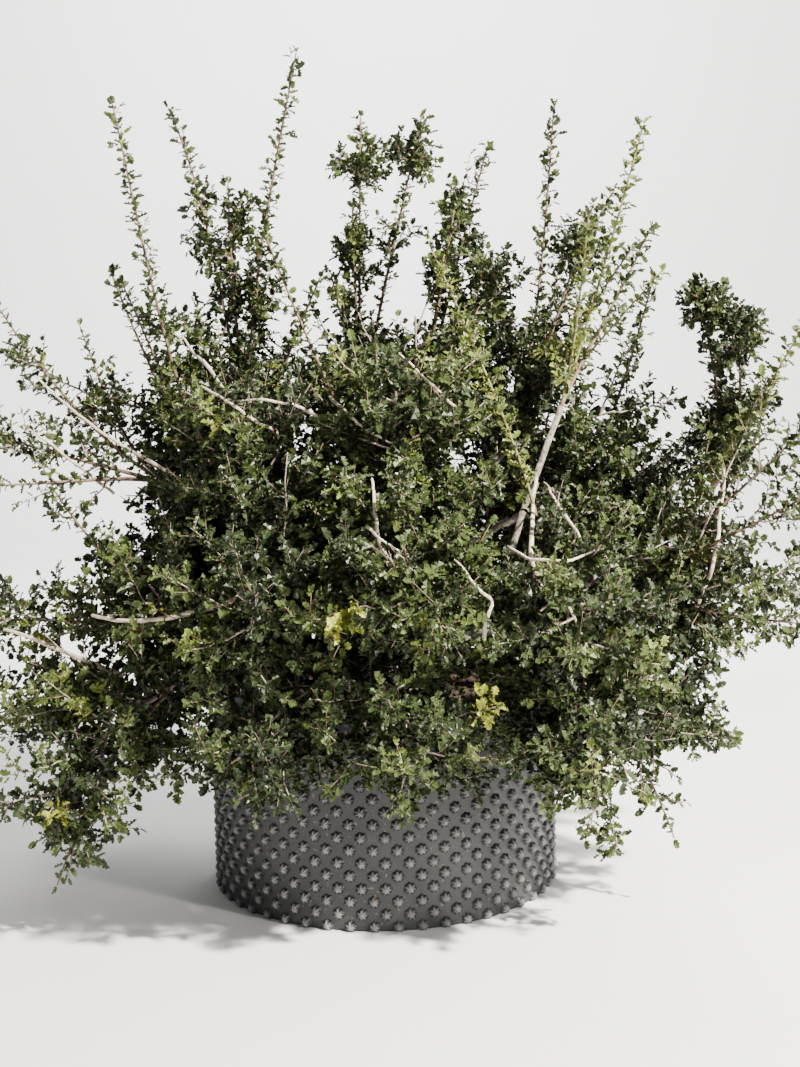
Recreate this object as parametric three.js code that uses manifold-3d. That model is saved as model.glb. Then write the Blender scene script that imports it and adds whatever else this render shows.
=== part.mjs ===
// A kermes oak, an evergreen shrub, grown in a round studded nursery pot.
// Units are millimetres, +Z is up, and the origin is the middle of the pot's flat underside.
// The front of the plant faces -Y and its right side +X.

import * as THREE from "three";
import { mergeVertices } from "three/addons/utils/BufferGeometryUtils.js";
import Module from "manifold-3d";

const wasm = await Module();
wasm.setup();

// Driving dimensions

// Neighbouring solids stay this far apart.
const GAP = 0.3;

// The pot is a plain cup whose wall is covered with studs in staggered rows.
const POT = {
  radius: 246,
  height: 300,
  wall: 4,
  floor: 8,
  studsRound: 48,
  studHeight: 7,
  studRows: 17,
  lowestRow: 6,
  rowStep: 17.4,
};

// The soil is a little domed, with a level patch where the trunk stands.
const SOIL = { belowRim: 30, dome: 6, patchRadius: 60, sides: 20 };

// The trunk is a short leaning foot that widens into its root flare.
const TRUNK = {
  top: [-8, 6, 356],
  flareRadius: 46,
  radius: 30,
  topRadius: 21,
  flareShare: 0.3,
  ringCrowding: 1.4,
  sides: 10,
  rings: 6,
};

// Each bough leaves its parent at a share of the parent's length and ends at its tip.
// Its middle rises above the straight line between the two. Thick is its radius at base and tip.
const BOUGHS = [
  { name: "bough_left", from: "trunk", at: 0.66, tip: [-190, -40, 545], rise: 30, thick: [11, 7] },
  { name: "bough_centre_back", from: "trunk", at: 0.97, tip: [-20, 80, 640], rise: 0, thick: [11, 7] },
  { name: "bough_centre_front", from: "trunk", at: 0.97, tip: [50, -10, 625], rise: 0, thick: [9, 6] },
  { name: "bough_right_upright", from: "trunk", at: 0.86, tip: [185, 45, 620], rise: 10, thick: [10, 7] },
  { name: "bough_right", from: "trunk", at: 0.62, tip: [474, -40, 560], rise: -50, thick: [11, 6] },
  { name: "bough_front_fork", from: "trunk", at: 0.84, tip: [195, -250, 490], rise: 25, thick: [10, 6.5] },
  { name: "bough_front", from: "trunk", at: 0.8, tip: [10, -150, 520], rise: 15, thick: [10, 7] },
  { name: "bough_front_left", from: "trunk", at: 0.7, tip: [-95, -160, 460], rise: 25, thick: [9, 7] },
  { name: "bough_left_low", from: "trunk", at: 0.5, tip: [-205, -110, 400], rise: 30, thick: [9, 6.5] },
  { name: "bough_front_low", from: "trunk", at: 0.42, tip: [-25, -185, 365], rise: 35, thick: [9, 7] },
  { name: "bough_right_low", from: "trunk", at: 0.46, tip: [195, -170, 370], rise: 30, thick: [9, 7] },
  { name: "bough_back_left", from: "trunk", at: 0.62, tip: [-140, 170, 450], rise: 30, thick: [10, 7] },
  { name: "bough_back_right", from: "trunk", at: 0.72, tip: [150, 175, 450], rise: 30, thick: [10, 7] },
  { name: "bough_back_low", from: "trunk", at: 0.5, tip: [10, 190, 375], rise: 30, thick: [9, 7] },
  { name: "bough_left_back", from: "bough_centre_back", at: 0.3,
    tip: [-150, 50, 620], rise: 25, thick: [8, 6] },
  { name: "bough_left_spread", from: "bough_left", at: 0.62,
    tip: [-310, -20, 590], rise: 10, thick: [7, 6.5] },
  { name: "bough_left_droop", from: "bough_left_low", at: 0.6,
    tip: [-265, -180, 340], rise: 20, thick: [7, 6.5] },
  { name: "bough_right_front", from: "bough_front_fork", at: 0.86,
    tip: [245, -170, 690], rise: 0, thick: [6, 5] },
  { name: "bough_right_spread", from: "bough_right", at: 0.35,
    tip: [290, -105, 430], rise: 10, thick: [8, 7] },
  { name: "bough_right_back", from: "bough_right_upright", at: 0.35,
    tip: [280, 60, 560], rise: 5, thick: [7, 6] },
];

// Each mass of foliage grows from the tip of one bough. A leader is one fork of its stem with its outer
// end, the form and girth of the foliage round it, how far it bows upwards, and any tufts on it, each
// with its share of the length, its radius and its number of twigs.
const MASSES = [
  // Top of the crown, with the upright whips above it from left to right
  { name: "top_left", on: "bough_left_back", leaders: [
    { tip: [-240, 40, 800], form: "clump", girth: 130, bow: 0 },
    { tip: [-297, 60, 1135], form: "whip", girth: 38, bow: 30, swing: 50,
      tufts: [[0.66, 58, 2], [0.46, 52, 1]] },
    { tip: [-101, -15, 1196], form: "whip", girth: 32, bow: -10, tufts: [[0.36, 50, 1]] },
    { tip: [-209, 40, 1021], form: "whip", girth: 48, bow: 10, tufts: [[0.8, 56, 2]] },
    { tip: [-75, -30, 879], form: "whip", girth: 44, bow: 0 }] },
  { name: "top_centre", on: "bough_centre_front", leaders: [
    { tip: [55, -95, 820], form: "clump", girth: 145, bow: 0 },
    { tip: [169, 35, 1068], form: "whip", girth: 36, bow: 10, tufts: [[0.7, 46, 1]] },
    { tip: [112, -85, 965], form: "whip", girth: 38, bow: 0 },
    { tip: [120, -20, 1004], form: "whip", girth: 42, bow: 10, tufts: [[0.85, 44, 2]] },
    { tip: [186, -70, 909], form: "whip", girth: 46, bow: 0, tufts: [[0.84, 52, 2]] }] },
  { name: "top_back", on: "bough_centre_back", leaders: [
    { tip: [-40, 130, 825], form: "clump", girth: 140, bow: 0 },
    { tip: [-15, 95, 1123], form: "whip", girth: 38, bow: 10, tufts: [[0.8, 56, 2], [0.46, 42, 1]] },
    { tip: [78, 130, 1129], form: "whip", girth: 36, bow: -20, tufts: [[0.84, 52, 2], [0.62, 42, 1]] },
    { tip: [-30, 80, 987], form: "whip", girth: 42, bow: 0, tufts: [[0.8, 46, 2]] }] },
  { name: "top_right", on: "bough_right_upright", leaders: [
    { tip: [215, 60, 800], form: "clump", girth: 135, bow: 0 },
    { tip: [266, 50, 1126], form: "whip", girth: 38, bow: 10 },
    { tip: [370, 140, 1015], form: "whip", girth: 40, bow: 60, tufts: [[0.74, 48, 1]] },
    { tip: [324, 50, 985], form: "whip", girth: 44, bow: 0, tufts: [[0.8, 46, 2]] },
    { tip: [372, -10, 914], form: "whip", girth: 40, bow: 20 }] },
  // Upper ring
  { name: "upper_left", on: "bough_left", leaders: [
    { tip: [-315, 10, 700], form: "clump", girth: 145, bow: 10 },
    { tip: [-345, -125, 1110], form: "whip", girth: 36, bow: 30 },
    { tip: [-372, -30, 892], form: "whip", girth: 46, bow: -20 },
    { tip: [-352, -60, 875], form: "whip", girth: 44, bow: 10, tufts: [[0.76, 48, 2]] }] },
  { name: "upper_front_left", on: "bough_front_left", leaders: [
    { tip: [-170, -220, 695], form: "clump", girth: 160, bow: 0 }] },
  { name: "upper_front", on: "bough_front", leaders: [
    { tip: [25, -265, 735], form: "clump", girth: 160, bow: 0 },
    { tip: [-141, -215, 924], form: "whip", girth: 32, bow: -40 }] },
  { name: "upper_right_front", on: "bough_right_front", leaders: [
    { tip: [357, -175, 1062], form: "whip", girth: 34, bow: -10, tufts: [[0.16, 60, 2]] },
    { tip: [382, -90, 935], form: "whip", girth: 36, bow: -20 },
    { tip: [276, -225, 935], form: "whip", girth: 34, bow: -10 }] },
  { name: "upper_right", on: "bough_right_upright", leaders: [
    { tip: [340, -40, 680], form: "clump", girth: 160, bow: 0 },
    { tip: [401, -80, 877], form: "whip", girth: 36, bow: 0 }] },
  { name: "upper_back", on: "bough_centre_back", leaders: [
    { tip: [10, 290, 690], form: "clump", girth: 170, bow: 0 },
    { tip: [-70, 280, 905], form: "whip", girth: 40, bow: 0, tufts: [[0.75, 50, 1]] }] },
  // Middle ring
  { name: "middle_left", on: "bough_left", leaders: [
    { tip: [-350, -50, 440], form: "clump", girth: 135, bow: 10 }] },
  { name: "middle_left_front", on: "bough_left_low", leaders: [
    { tip: [-310, -260, 450], form: "clump", girth: 150, bow: 20 },
    { tip: [-430, -195, 597], form: "whip", girth: 40, bow: -60, tufts: [[0.84, 38, 2]] }] },
  { name: "middle_front_left", on: "bough_front_left", leaders: [
    { tip: [-165, -375, 430], form: "clump", girth: 170, bow: 20 }] },
  { name: "middle_front", on: "bough_front", leaders: [
    { tip: [35, -400, 460], form: "clump", girth: 170, bow: 20 },
    { tip: [70, -478, 440], form: "spray", girth: 62, bow: 20 }] },
  { name: "middle_front_right", on: "bough_front_fork", leaders: [
    { tip: [250, -390, 400], form: "clump", girth: 160, bow: 10 },
    { tip: [66, -245, 912], form: "whip", girth: 32, bow: 0 }] },
  { name: "middle_right_back", on: "bough_right_back", leaders: [
    { tip: [430, 140, 450], form: "clump", girth: 155, bow: 20 },
    { tip: [409, 50, 868], form: "whip", girth: 36, bow: -10 }] },
  { name: "middle_back_right", on: "bough_back_right", leaders: [
    { tip: [250, 360, 560], form: "clump", girth: 175, bow: 0 },
    { tip: [300, 270, 915], form: "whip", girth: 44, bow: 0 },
    { tip: [115, 290, 980], form: "whip", girth: 40, bow: 10 },
    { tip: [290, 465, 460], form: "spray", girth: 70, bow: 0 }] },
  { name: "middle_back", on: "bough_back_low", leaders: [
    { tip: [0, 400, 490], form: "clump", girth: 175, bow: 0 },
    { tip: [10, 480, 560], form: "spray", girth: 70, bow: 0 }] },
  { name: "middle_back_left", on: "bough_back_left", leaders: [
    { tip: [-260, 350, 560], form: "clump", girth: 175, bow: 0 },
    { tip: [-235, 260, 950], form: "whip", girth: 44, bow: 10 },
    { tip: [-300, 455, 470], form: "spray", girth: 70, bow: 0 }] },
  // Low ring, hanging over the rim
  { name: "low_front", on: "bough_front_low", leaders: [
    { tip: [50, -385, 262], form: "clump", girth: 150, bow: 50 }] },
  { name: "low_front_left", on: "bough_front_low", leaders: [
    { tip: [-185, -350, 262], form: "clump", girth: 145, bow: 50 }] },
  { name: "low_front_right", on: "bough_right_low", leaders: [
    { tip: [262, -385, 240], form: "clump", girth: 145, bow: 50 }] },
  { name: "low_right", on: "bough_right_low", leaders: [
    { tip: [430, -200, 240], form: "clump", girth: 145, bow: 50 },
    { tip: [300, -290, 118], form: "spray", girth: 78, bow: 60 },
    { tip: [395, -190, 96], form: "spray", girth: 62, bow: 90 }] },
  { name: "low_back_right", on: "bough_back_right", leaders: [
    { tip: [330, 310, 250], form: "clump", girth: 170, bow: 50 }] },
  { name: "low_back", on: "bough_back_low", leaders: [
    { tip: [20, 400, 225], form: "clump", girth: 170, bow: 50 },
    { tip: [40, 472, 210], form: "spray", girth: 70, bow: 60 }] },
  { name: "low_back_left", on: "bough_back_left", leaders: [
    { tip: [-330, 300, 240], form: "clump", girth: 170, bow: 50 }] },
  // Sprays that reach out of the crown on the left
  { name: "plume_left", on: "bough_left_spread", leaders: [
    { tip: [-560, 25, 872], form: "spray", girth: 50, bow: -30 },
    { tip: [-445, 110, 822], form: "spray", girth: 50, bow: 0 }] },
  { name: "reach_left", on: "bough_left_spread", leaders: [
    { tip: [-585, -85, 685], form: "spray", girth: 56, bow: -10 },
    { tip: [-560, -160, 600], form: "spray", girth: 52, bow: -10 }] },
  { name: "reach_left_low", on: "bough_left_low", leaders: [
    { tip: [-595, -130, 415], form: "spray", girth: 84, bow: 10 }] },
  { name: "droop_left", on: "bough_left_droop", leaders: [
    { tip: [-440, -270, 190], form: "clump", girth: 150, bow: 40 },
    { tip: [-440, -235, 66], form: "spray", girth: 92, bow: 70 },
    { tip: [-575, -100, 262], form: "spray", girth: 80, bow: 40 }] },
  // Tufts and sprays that reach out of the crown on the right
  { name: "tuft_tower", on: "bough_right", leaders: [
    { tip: [440, -65, 835], form: "whip", girth: 26, bow: 90, swing: 90,
      tufts: [[0.26, 80, 4], [0.68, 58, 3], [0.93, 46, 2]] },
    { tip: [444, -65, 847], form: "whip", girth: 26, bow: 60, tufts: [[0.9, 36, 2]] }] },
  { name: "sprays_right", on: "bough_right_spread", leaders: [
    { tip: [600, -145, 835], form: "whip", girth: 34, bow: -30 },
    { tip: [600, -175, 685], form: "spray", girth: 48, bow: -20 },
    { tip: [600, -265, 600], form: "spray", girth: 52, bow: -10 }] },
  { name: "middle_right", on: "bough_right_spread", leaders: [
    { tip: [455, -120, 420], form: "clump", girth: 150, bow: 10 },
    { tip: [655, -30, 440], form: "spray", girth: 70, bow: 10 },
    { tip: [600, -215, 395], form: "spray", girth: 64, bow: -20 }] },
];

// The foliage round a leader by its form: from which share of it twigs grow, how its girth runs along
// it, how many twigs it has for each 100 mm, how far they lean out, their leaves' length, how many
// leaves a twig bears beside the one at its tip, and how much of the girth a solid core fills.
const narrowing = (t) => 1.7 - 1.1 * t;
const bowed = (t) => Math.sin(Math.PI * (0.12 + 0.86 * t)) ** 0.5;
const round = (t) => Math.sqrt(Math.max(0, 1 - (2 * t - 1) ** 2));
const FORMS = {
  whip: { bare: 0.15, run: narrowing, twigs: 0.9, lean: 46, leaf: 58, beside: 0, core: 0 },
  spray: { bare: 0.2, run: bowed, twigs: 1.15, lean: 46, leaf: 70, beside: 1, core: 0 },
  clump: { bare: 0, run: round, twigs: 2.2, lean: 66, leaf: 92, beside: 1, core: 0.55 },
};

// A stem, its twigs and their leaves. Leaves are larger than life, because each stands for a spray.
const STEM = {
  baseRadius: 3.4,
  tipRadius: 1.5,
  segments: 6,
  sides: 3,
  offset: 4.1,
  straightShare: 0.16,
  bendShare: 0.55,
  shortOfEnd: 0.8,
};
const TWIG = { baseRadius: 1.9, tipRadius: 1.3, leanAtFoot: 1.15, leanLoss: 0.4 };
const LEAF = {
  width: 0.52,
  widestAt: 0.48,
  thickness: 0.07,
  rootSunk: 4,
  longest: 1.4,
  sizes: [1, 0.8, 0.6],
  sideSize: 0.9,
  endSize: 0.85,
  spread: 52,
  tilt: 160,
};
const CORE = { detail: 1, middle: 0.52, rootShare: 0.3, limbClearance: 8 };
const GOLDEN_ANGLE = 137.508;

// The space of a mass is searched in these steps and keeps these distances.
const SPACE = {
  leastGirth: 11,
  sampleStep: 9,
  step: 4,
  margin: 0.06,
  limbClearance: 2.5,
  potClearance: 6,
  clearOfStem: 6,
};

// Boughs are drawn with few faces, because foliage hides most of them.
const BOUGH_SIDES = 5;
const BOUGH_SEGMENTS = 4;
const SAMPLES_ON_LIMB = 40;

const COLOURS = {
  pot: [0x2e3032, 0.55],
  soil: [0x3a2c20, 0.95],
  bark: [0x8d8377, 0.85],
  foliage: [0x2f4424, 0.5],
};

// Small tools

const vector = (xyz) => new THREE.Vector3(...xyz);
const UP = new THREE.Vector3(0, 0, 1);
const radians = THREE.MathUtils.degToRad;

// A repeatable number from 0 to 1 for a whole number and a salt.
function chance(n, salt) {
  const s = Math.sin(n * 12.9898 + salt * 78.233) * 43758.5453;
  return s - Math.floor(s);
}

// Any unit vector square to a direction, kept steady from one ring to the next by the hint.
function squareTo(direction, hint) {
  const side = hint.clone().addScaledVector(direction, -hint.dot(direction));
  if (side.length() < 0.05) side.set(direction.z, direction.x, direction.y).cross(direction);
  return side.normalize();
}

// A closed surface through rings of equally many points. With alternate, the diagonals of
// neighbouring squares turn opposite ways, so that every second point can be the tip of a stud.
function loft(rings, alternate = false) {
  const sides = rings[0].length;
  const positions = rings.flat().flatMap((p) => [p.x, p.y, p.z]);
  const index = [];
  const at = (ring, i) => ring * sides + (i % sides);
  for (let r = 0; r + 1 < rings.length; r++)
    for (let i = 0; i < sides; i++) {
      const [a, b, c, d] = [at(r, i), at(r, i + 1), at(r + 1, i + 1), at(r + 1, i)];
      if (alternate && (r + i) % 2 === 0) index.push(a, b, d, b, c, d);
      else index.push(a, b, c, a, c, d);
    }
  const last = rings.length - 1;
  for (let i = 1; i + 1 < sides; i++) {
    index.push(at(0, 0), at(0, i + 1), at(0, i));
    index.push(at(last, 0), at(last, i), at(last, i + 1));
  }
  const geometry = new THREE.BufferGeometry();
  geometry.setAttribute("position", new THREE.Float32BufferAttribute(positions, 3));
  geometry.setIndex(index);
  return geometry;
}

// A ring of points round a centre, square to a direction.
function ring(centre, direction, side, radius, sides) {
  const other = new THREE.Vector3().crossVectors(direction, side);
  return Array.from({ length: sides }, (_, i) => {
    const turn = (i / sides) * 2 * Math.PI;
    const point = centre.clone().addScaledVector(side, radius * Math.cos(turn));
    return point.addScaledVector(other, radius * Math.sin(turn));
  });
}

// A tapering round limb along a curve. Its first ring may face another way than the curve.
function limb(curve, segments, sides, radiusAt, firstDirection = null) {
  const rings = [];
  let side = new THREE.Vector3(1, 0, 0);
  for (let i = 0; i <= segments; i++) {
    const t = i / segments;
    const direction = i === 0 && firstDirection ? firstDirection : curve.getTangentAt(t);
    side = squareTo(direction, side);
    rings.push(ring(curve.getPointAt(t), direction, side, radiusAt(t), sides));
  }
  return loft(rings);
}

// Turns a closed geometry into a solid that can be joined and cut.
function solid(geometry) {
  const bare = new THREE.BufferGeometry().setAttribute("position", geometry.getAttribute("position"));
  bare.setIndex(geometry.index);
  const merged = mergeVertices(bare, 1e-4);
  const mesh = new wasm.Mesh({
    numProp: 3,
    vertProperties: new Float32Array(merged.getAttribute("position").array),
    triVerts: new Uint32Array(merged.index.array),
  });
  return new wasm.Manifold(mesh);
}

// Turns a solid back into a geometry, keeping its largest body when a cut left scraps.
function geometryOf(made) {
  const bodies = made.decompose().sort((a, b) => b.volume() - a.volume());
  const { vertProperties, triVerts, numProp } = bodies[0].getMesh();
  const geometry = new THREE.BufferGeometry();
  const positions = new Float32Array((vertProperties.length / numProp) * 3);
  for (let i = 0; i < positions.length / 3; i++)
    positions.set(vertProperties.subarray(i * numProp, i * numProp + 3), i * 3);
  geometry.setAttribute("position", new THREE.BufferAttribute(positions, 3));
  geometry.setIndex(new THREE.BufferAttribute(new Uint32Array(triVerts), 1));
  return geometry;
}

const join = (solids) => solids.reduce((whole, piece) => whole.add(piece));

// The pot and its soil

const level = (radius, z, sides) => ring(vector([0, 0, z]), UP, vector([1, 0, 0]), radius, sides);

// The cup's rings run up the studded outside, over the rim, down the inside and in along the floor.
function potGeometry() {
  const sides = POT.studsRound * 2;
  const studded = (row) => {
    const flat = level(POT.radius, POT.lowestRow + row * POT.rowStep, sides);
    const out = 1 + POT.studHeight / POT.radius;
    return flat.map((p, i) => ((i + row) % 2 === 0 ? new THREE.Vector3(p.x * out, p.y * out, p.z) : p));
  };
  const inner = POT.radius - POT.wall;
  const rings = [
    level(POT.radius, 0, sides),
    ...Array.from({ length: POT.studRows }, (_, row) => studded(row)),
    level(POT.radius, POT.height, sides),
    level(inner, POT.height, sides),
    level(inner, POT.floor, sides),
  ];
  return loft(rings, true);
}

const soilTop = POT.height - SOIL.belowRim;

function soilGeometry() {
  const outer = POT.radius - POT.wall - GAP;
  const profile = [
    [0, POT.floor + GAP],
    [outer, POT.floor + GAP],
    [outer, soilTop - SOIL.dome],
    [SOIL.patchRadius, soilTop],
    [0, soilTop],
  ].map(([radius, z]) => new THREE.Vector2(radius, z));
  return new THREE.LatheGeometry(profile, SOIL.sides).rotateX(Math.PI / 2);
}

// The trunk and its boughs

const trunkFoot = new THREE.Vector3(0, 0, soilTop + GAP);
const trunkCurve = new THREE.LineCurve3(trunkFoot, vector(TRUNK.top));

// The flare dies away by its share of the height, and above it the trunk tapers evenly.
function trunkRadius(t) {
  const flare = Math.max(0, 1 - t / TRUNK.flareShare) ** 2;
  const straight = THREE.MathUtils.lerp(TRUNK.radius, TRUNK.topRadius, t);
  return straight + flare * (TRUNK.flareRadius - TRUNK.radius);
}

// The rings are closer together in the flare, and the lowest one is cut level.
function trunkGeometry(extra = 0) {
  const rings = Array.from({ length: TRUNK.rings + 1 }, (_, i) => {
    const t = (i / TRUNK.rings) ** TRUNK.ringCrowding;
    return ring(trunkCurve.getPointAt(t), UP, vector([1, 0, 0]), trunkRadius(t) + extra, TRUNK.sides);
  });
  return loft(rings);
}

const limbs = new Map([["trunk", { curve: trunkCurve, radiusAt: trunkRadius }]]);
for (const bough of BOUGHS) {
  const parent = limbs.get(bough.from);
  const start = parent.curve.getPointAt(bough.at);
  const tip = vector(bough.tip);
  const middle = start.clone().lerp(tip, 0.5).addScaledVector(UP, 2 * bough.rise);
  const curve = new THREE.QuadraticBezierCurve3(start, middle, tip);
  limbs.set(bough.name, { curve, radiusAt: (t) => THREE.MathUtils.lerp(...bough.thick, t) });
}

function grown(name) {
  if (name === "trunk") return solid(trunkGeometry(GAP));
  const { curve, radiusAt } = limbs.get(name);
  return solid(limb(curve, BOUGH_SEGMENTS, BOUGH_SIDES, (t) => radiusAt(t) + GAP));
}

// A bough is cut clear of its parent, so that the two meet face to face, and of the older boughs
// that leave the same parent.
function boughGeometry(bough, order) {
  const { curve, radiusAt } = limbs.get(bough.name);
  const whole = solid(limb(curve, BOUGH_SEGMENTS, BOUGH_SIDES, radiusAt));
  const older = BOUGHS.slice(0, order).filter((other) => other.from === bough.from);
  const cuts = [bough.from, ...older.map((other) => other.name)];
  return geometryOf(cuts.reduce((made, name) => made.subtract(grown(name)), whole));
}

// The space that each mass of foliage keeps to

// The girth of the foliage at a share t of its leader, tufts included.
function girthAt(leader, t) {
  const form = FORMS[leader.form];
  let girth = t < form.bare ? 0 : leader.girth * form.run(t);
  for (const [share, radius] of leader.tufts ?? []) {
    const off = ((t - share) * leader.length) / radius;
    if (Math.abs(off) < 1) girth = Math.max(girth, radius * Math.sqrt(1 - off * off));
  }
  return Math.max(SPACE.leastGirth, girth);
}

// Stems that share a bough's tip start side by side on it, each on the side of its own end.
function stemStart(mass) {
  const bough = limbs.get(mass.on);
  const direction = bough.curve.getTangentAt(1);
  const base = bough.curve.getPointAt(1).addScaledVector(direction, GAP);
  const alone = MASSES.every((other) => other === mass || other.on !== mass.on);
  const outwards = squareTo(direction, vector(mass.leaders[0].tip).sub(base));
  if (!alone) base.addScaledVector(outwards, STEM.offset);
  return { base, direction };
}

for (const mass of MASSES) {
  const { base, direction } = stemStart(mass);
  mass.direction = direction;
  for (const leader of mass.leaders) {
    const tip = vector(leader.tip);
    const reach = tip.distanceTo(base);
    const near = base.clone().addScaledVector(direction, reach * STEM.straightShare);
    const far = near.clone().lerp(tip, STEM.bendShare).addScaledVector(UP, leader.bow);
    far.x += leader.swing ?? 0;
    leader.curve = new THREE.CubicBezierCurve3(base, near, far, tip);
    leader.length = leader.curve.getLength();
    const steps = Math.ceil(leader.length / SPACE.sampleStep);
    leader.samples = Array.from({ length: steps + 1 }, (_, i) => {
      const t = i / steps;
      return { point: leader.curve.getPointAt(t), girth: girthAt(leader, t) };
    });
  }
}

// How far out a point lies round some leaders, from 0 on a leader to 1 at the edge of its foliage.
function outness(point, leaders) {
  let least = Infinity;
  for (const { samples } of leaders)
    for (const { point: p, girth } of samples) least = Math.min(least, point.distanceTo(p) / girth);
  return least;
}

const limbSamples = [...limbs.values()].flatMap(({ curve, radiusAt }) =>
  Array.from({ length: SAMPLES_ON_LIMB + 1 }, (_, i) => {
    const t = i / SAMPLES_ON_LIMB;
    return { point: curve.getPointAt(t), radius: radiusAt(t) };
  }),
);

function clearOfLimbs(point, clearance) {
  return limbSamples.every(({ point: p, radius }) => point.distanceTo(p) > radius + clearance);
}

function clearOfPot(point) {
  const out = Math.hypot(point.x, point.y);
  const rim = POT.radius + POT.studHeight + SPACE.potClearance;
  return point.z > POT.height + SPACE.potClearance || (out > rim && point.z > SPACE.potClearance);
}

// A point is in its own mass's space when no other mass has a better claim to it.
function inOwnSpace(point, mass, clearance = SPACE.limbClearance) {
  const own = outness(point, mass.leaders);
  if (own > 1 || !clearOfPot(point) || !clearOfLimbs(point, clearance)) return false;
  return MASSES.every((other) => other === mass || outness(point, other.leaders) > own + SPACE.margin);
}

// How far a twig can run from a point before it would leave its mass's space.
function runLength(start, direction, mass, from = 0) {
  const probe = new THREE.Vector3();
  const ahead = (far) => probe.copy(start).addScaledVector(direction, far + SPACE.step);
  let far = from;
  while (inOwnSpace(ahead(far), mass)) far += SPACE.step;
  return far;
}

// The foliage

// A leaf has a three-cornered section, widest near its middle: raised rib, right edge and left edge.
function leafSection(root, direction, normal, length) {
  const across = new THREE.Vector3().crossVectors(direction, normal).normalize();
  const middle = root.clone().addScaledVector(direction, length * LEAF.widestAt);
  const half = (length * LEAF.width) / 2;
  return [
    middle.clone().addScaledVector(normal, length * LEAF.thickness),
    middle.clone().addScaledVector(across, half),
    middle.clone().addScaledVector(across, -half),
  ];
}

// A closed surface over three-cornered rings that ends in a point. It starts in a point too when its
// first ring is a single one.
function leafSolid(rings, tip) {
  const geometry = new THREE.BufferGeometry().setFromPoints([...rings.flat(), tip]);
  const end = rings.length * 3;
  const index = [];
  const stalked = rings[0].length === 3;
  const first = stalked ? 0 : 1;
  const corner = (ringNumber, i) => (stalked ? ringNumber * 3 : ringNumber * 3 - 2) + (i % 3);
  for (let i = 0; i < 3; i++) {
    for (let r = first; r + 1 < rings.length; r++) {
      const [a, b, c, d] = [corner(r, i), corner(r, i + 1), corner(r + 1, i + 1), corner(r + 1, i)];
      index.push(a, b, c, a, c, d);
    }
    const last = rings.length - 1;
    index.push(corner(last, i), corner(last, i + 1), stalked ? end : end - 2);
    if (!stalked) index.push(0, corner(1, i + 1), corner(1, i));
  }
  if (stalked) index.push(0, 2, 1);
  geometry.setIndex(index);
  return solid(geometry);
}

// True when the straight lines between the points lie in the mass's space.
function lineInSpace(points, mass) {
  return points.slice(1).every((end, i) => {
    const start = points[i];
    const steps = Math.max(1, Math.ceil(start.distanceTo(end) / SPACE.step));
    return Array.from({ length: steps }, (_, k) => start.clone().lerp(end, (k + 1) / steps)).every((p) =>
      inOwnSpace(p, mass),
    );
  });
}

// The way a leaf's back faces: upwards, tilted to either side by chance.
function leafNormal(direction, n) {
  return squareTo(direction, UP).applyAxisAngle(direction, radians(LEAF.tilt * (chance(n, 5) - 0.5)));
}

// A leaf with no stalk, its root sunk in what carries it. One that would leave the space is tried
// again at smaller sizes, then skipped.
function addLeaf(pieces, mass, root, direction, longest, n) {
  for (const size of LEAF.sizes) {
    const length = longest * size;
    const [rib, right, left] = leafSection(root, direction, leafNormal(direction, n), length);
    const tip = root.clone().addScaledVector(direction, length);
    const out = root.clone().addScaledVector(direction, LEAF.rootSunk);
    if (!lineInSpace([out, left, tip, right, out, tip], mass)) continue;
    pieces.push(leafSolid([[root], [rib, right, left]], tip));
    return;
  }
}

// A twig ends in a leaf of its own and may bear more beside it.
function addTwig(pieces, mass, start, direction, { leaf, beside }, n) {
  const reach = runLength(start, direction, mass, SPACE.clearOfStem);
  if (reach < leaf * LEAF.longest) {
    addLeaf(pieces, mass, start, direction, reach, n);
    return;
  }
  const length = reach - leaf;
  const end = start.clone().addScaledVector(direction, length);
  const normal = leafNormal(direction, n);
  const foot = ring(start, direction, normal, TWIG.baseRadius, 3);
  const neck = ring(end, direction, normal, TWIG.tipRadius, 3);
  const [rib, right, left] = leafSection(end, direction, normal, leaf);
  const tip = end.clone().addScaledVector(direction, leaf);
  const fits = lineInSpace([end, left, tip, right, end, tip], mass);
  pieces.push(fits ? leafSolid([foot, neck, [rib, right, left]], tip) : solid(loft([foot, neck])));
  for (const side of [n % 2 ? 1 : -1, n % 2 ? -1 : 1].slice(0, beside)) {
    const turn = radians(90 * side + 180 * chance(n, 7));
    const turned = squareTo(direction, UP).applyAxisAngle(direction, turn);
    const aim = direction.clone().multiplyScalar(Math.cos(radians(LEAF.spread)));
    aim.addScaledVector(turned, Math.sin(radians(LEAF.spread)));
    const root = end.clone().addScaledVector(direction, -LEAF.rootSunk * (1.5 + side));
    addLeaf(pieces, mass, root, aim, leaf * LEAF.sideSize, n + side);
  }
}

// A stem stops short of its leader's end by most of a leaf.
const shareOfStem = (leader) => 1 - (FORMS[leader.form].leaf * STEM.shortOfEnd) / leader.length;

function stemSolid(mass, leader, extra = 0) {
  const joints = Array.from({ length: STEM.segments + 1 }, (_, i) =>
    leader.curve.getPointAt((i / STEM.segments) * shareOfStem(leader)),
  );
  const radiusAt = (t) => THREE.MathUtils.lerp(STEM.baseRadius, STEM.tipRadius, t) + extra;
  const curve = new THREE.CatmullRomCurve3(joints);
  return solid(limb(curve, STEM.segments, STEM.sides, radiusAt, mass.direction));
}

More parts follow.
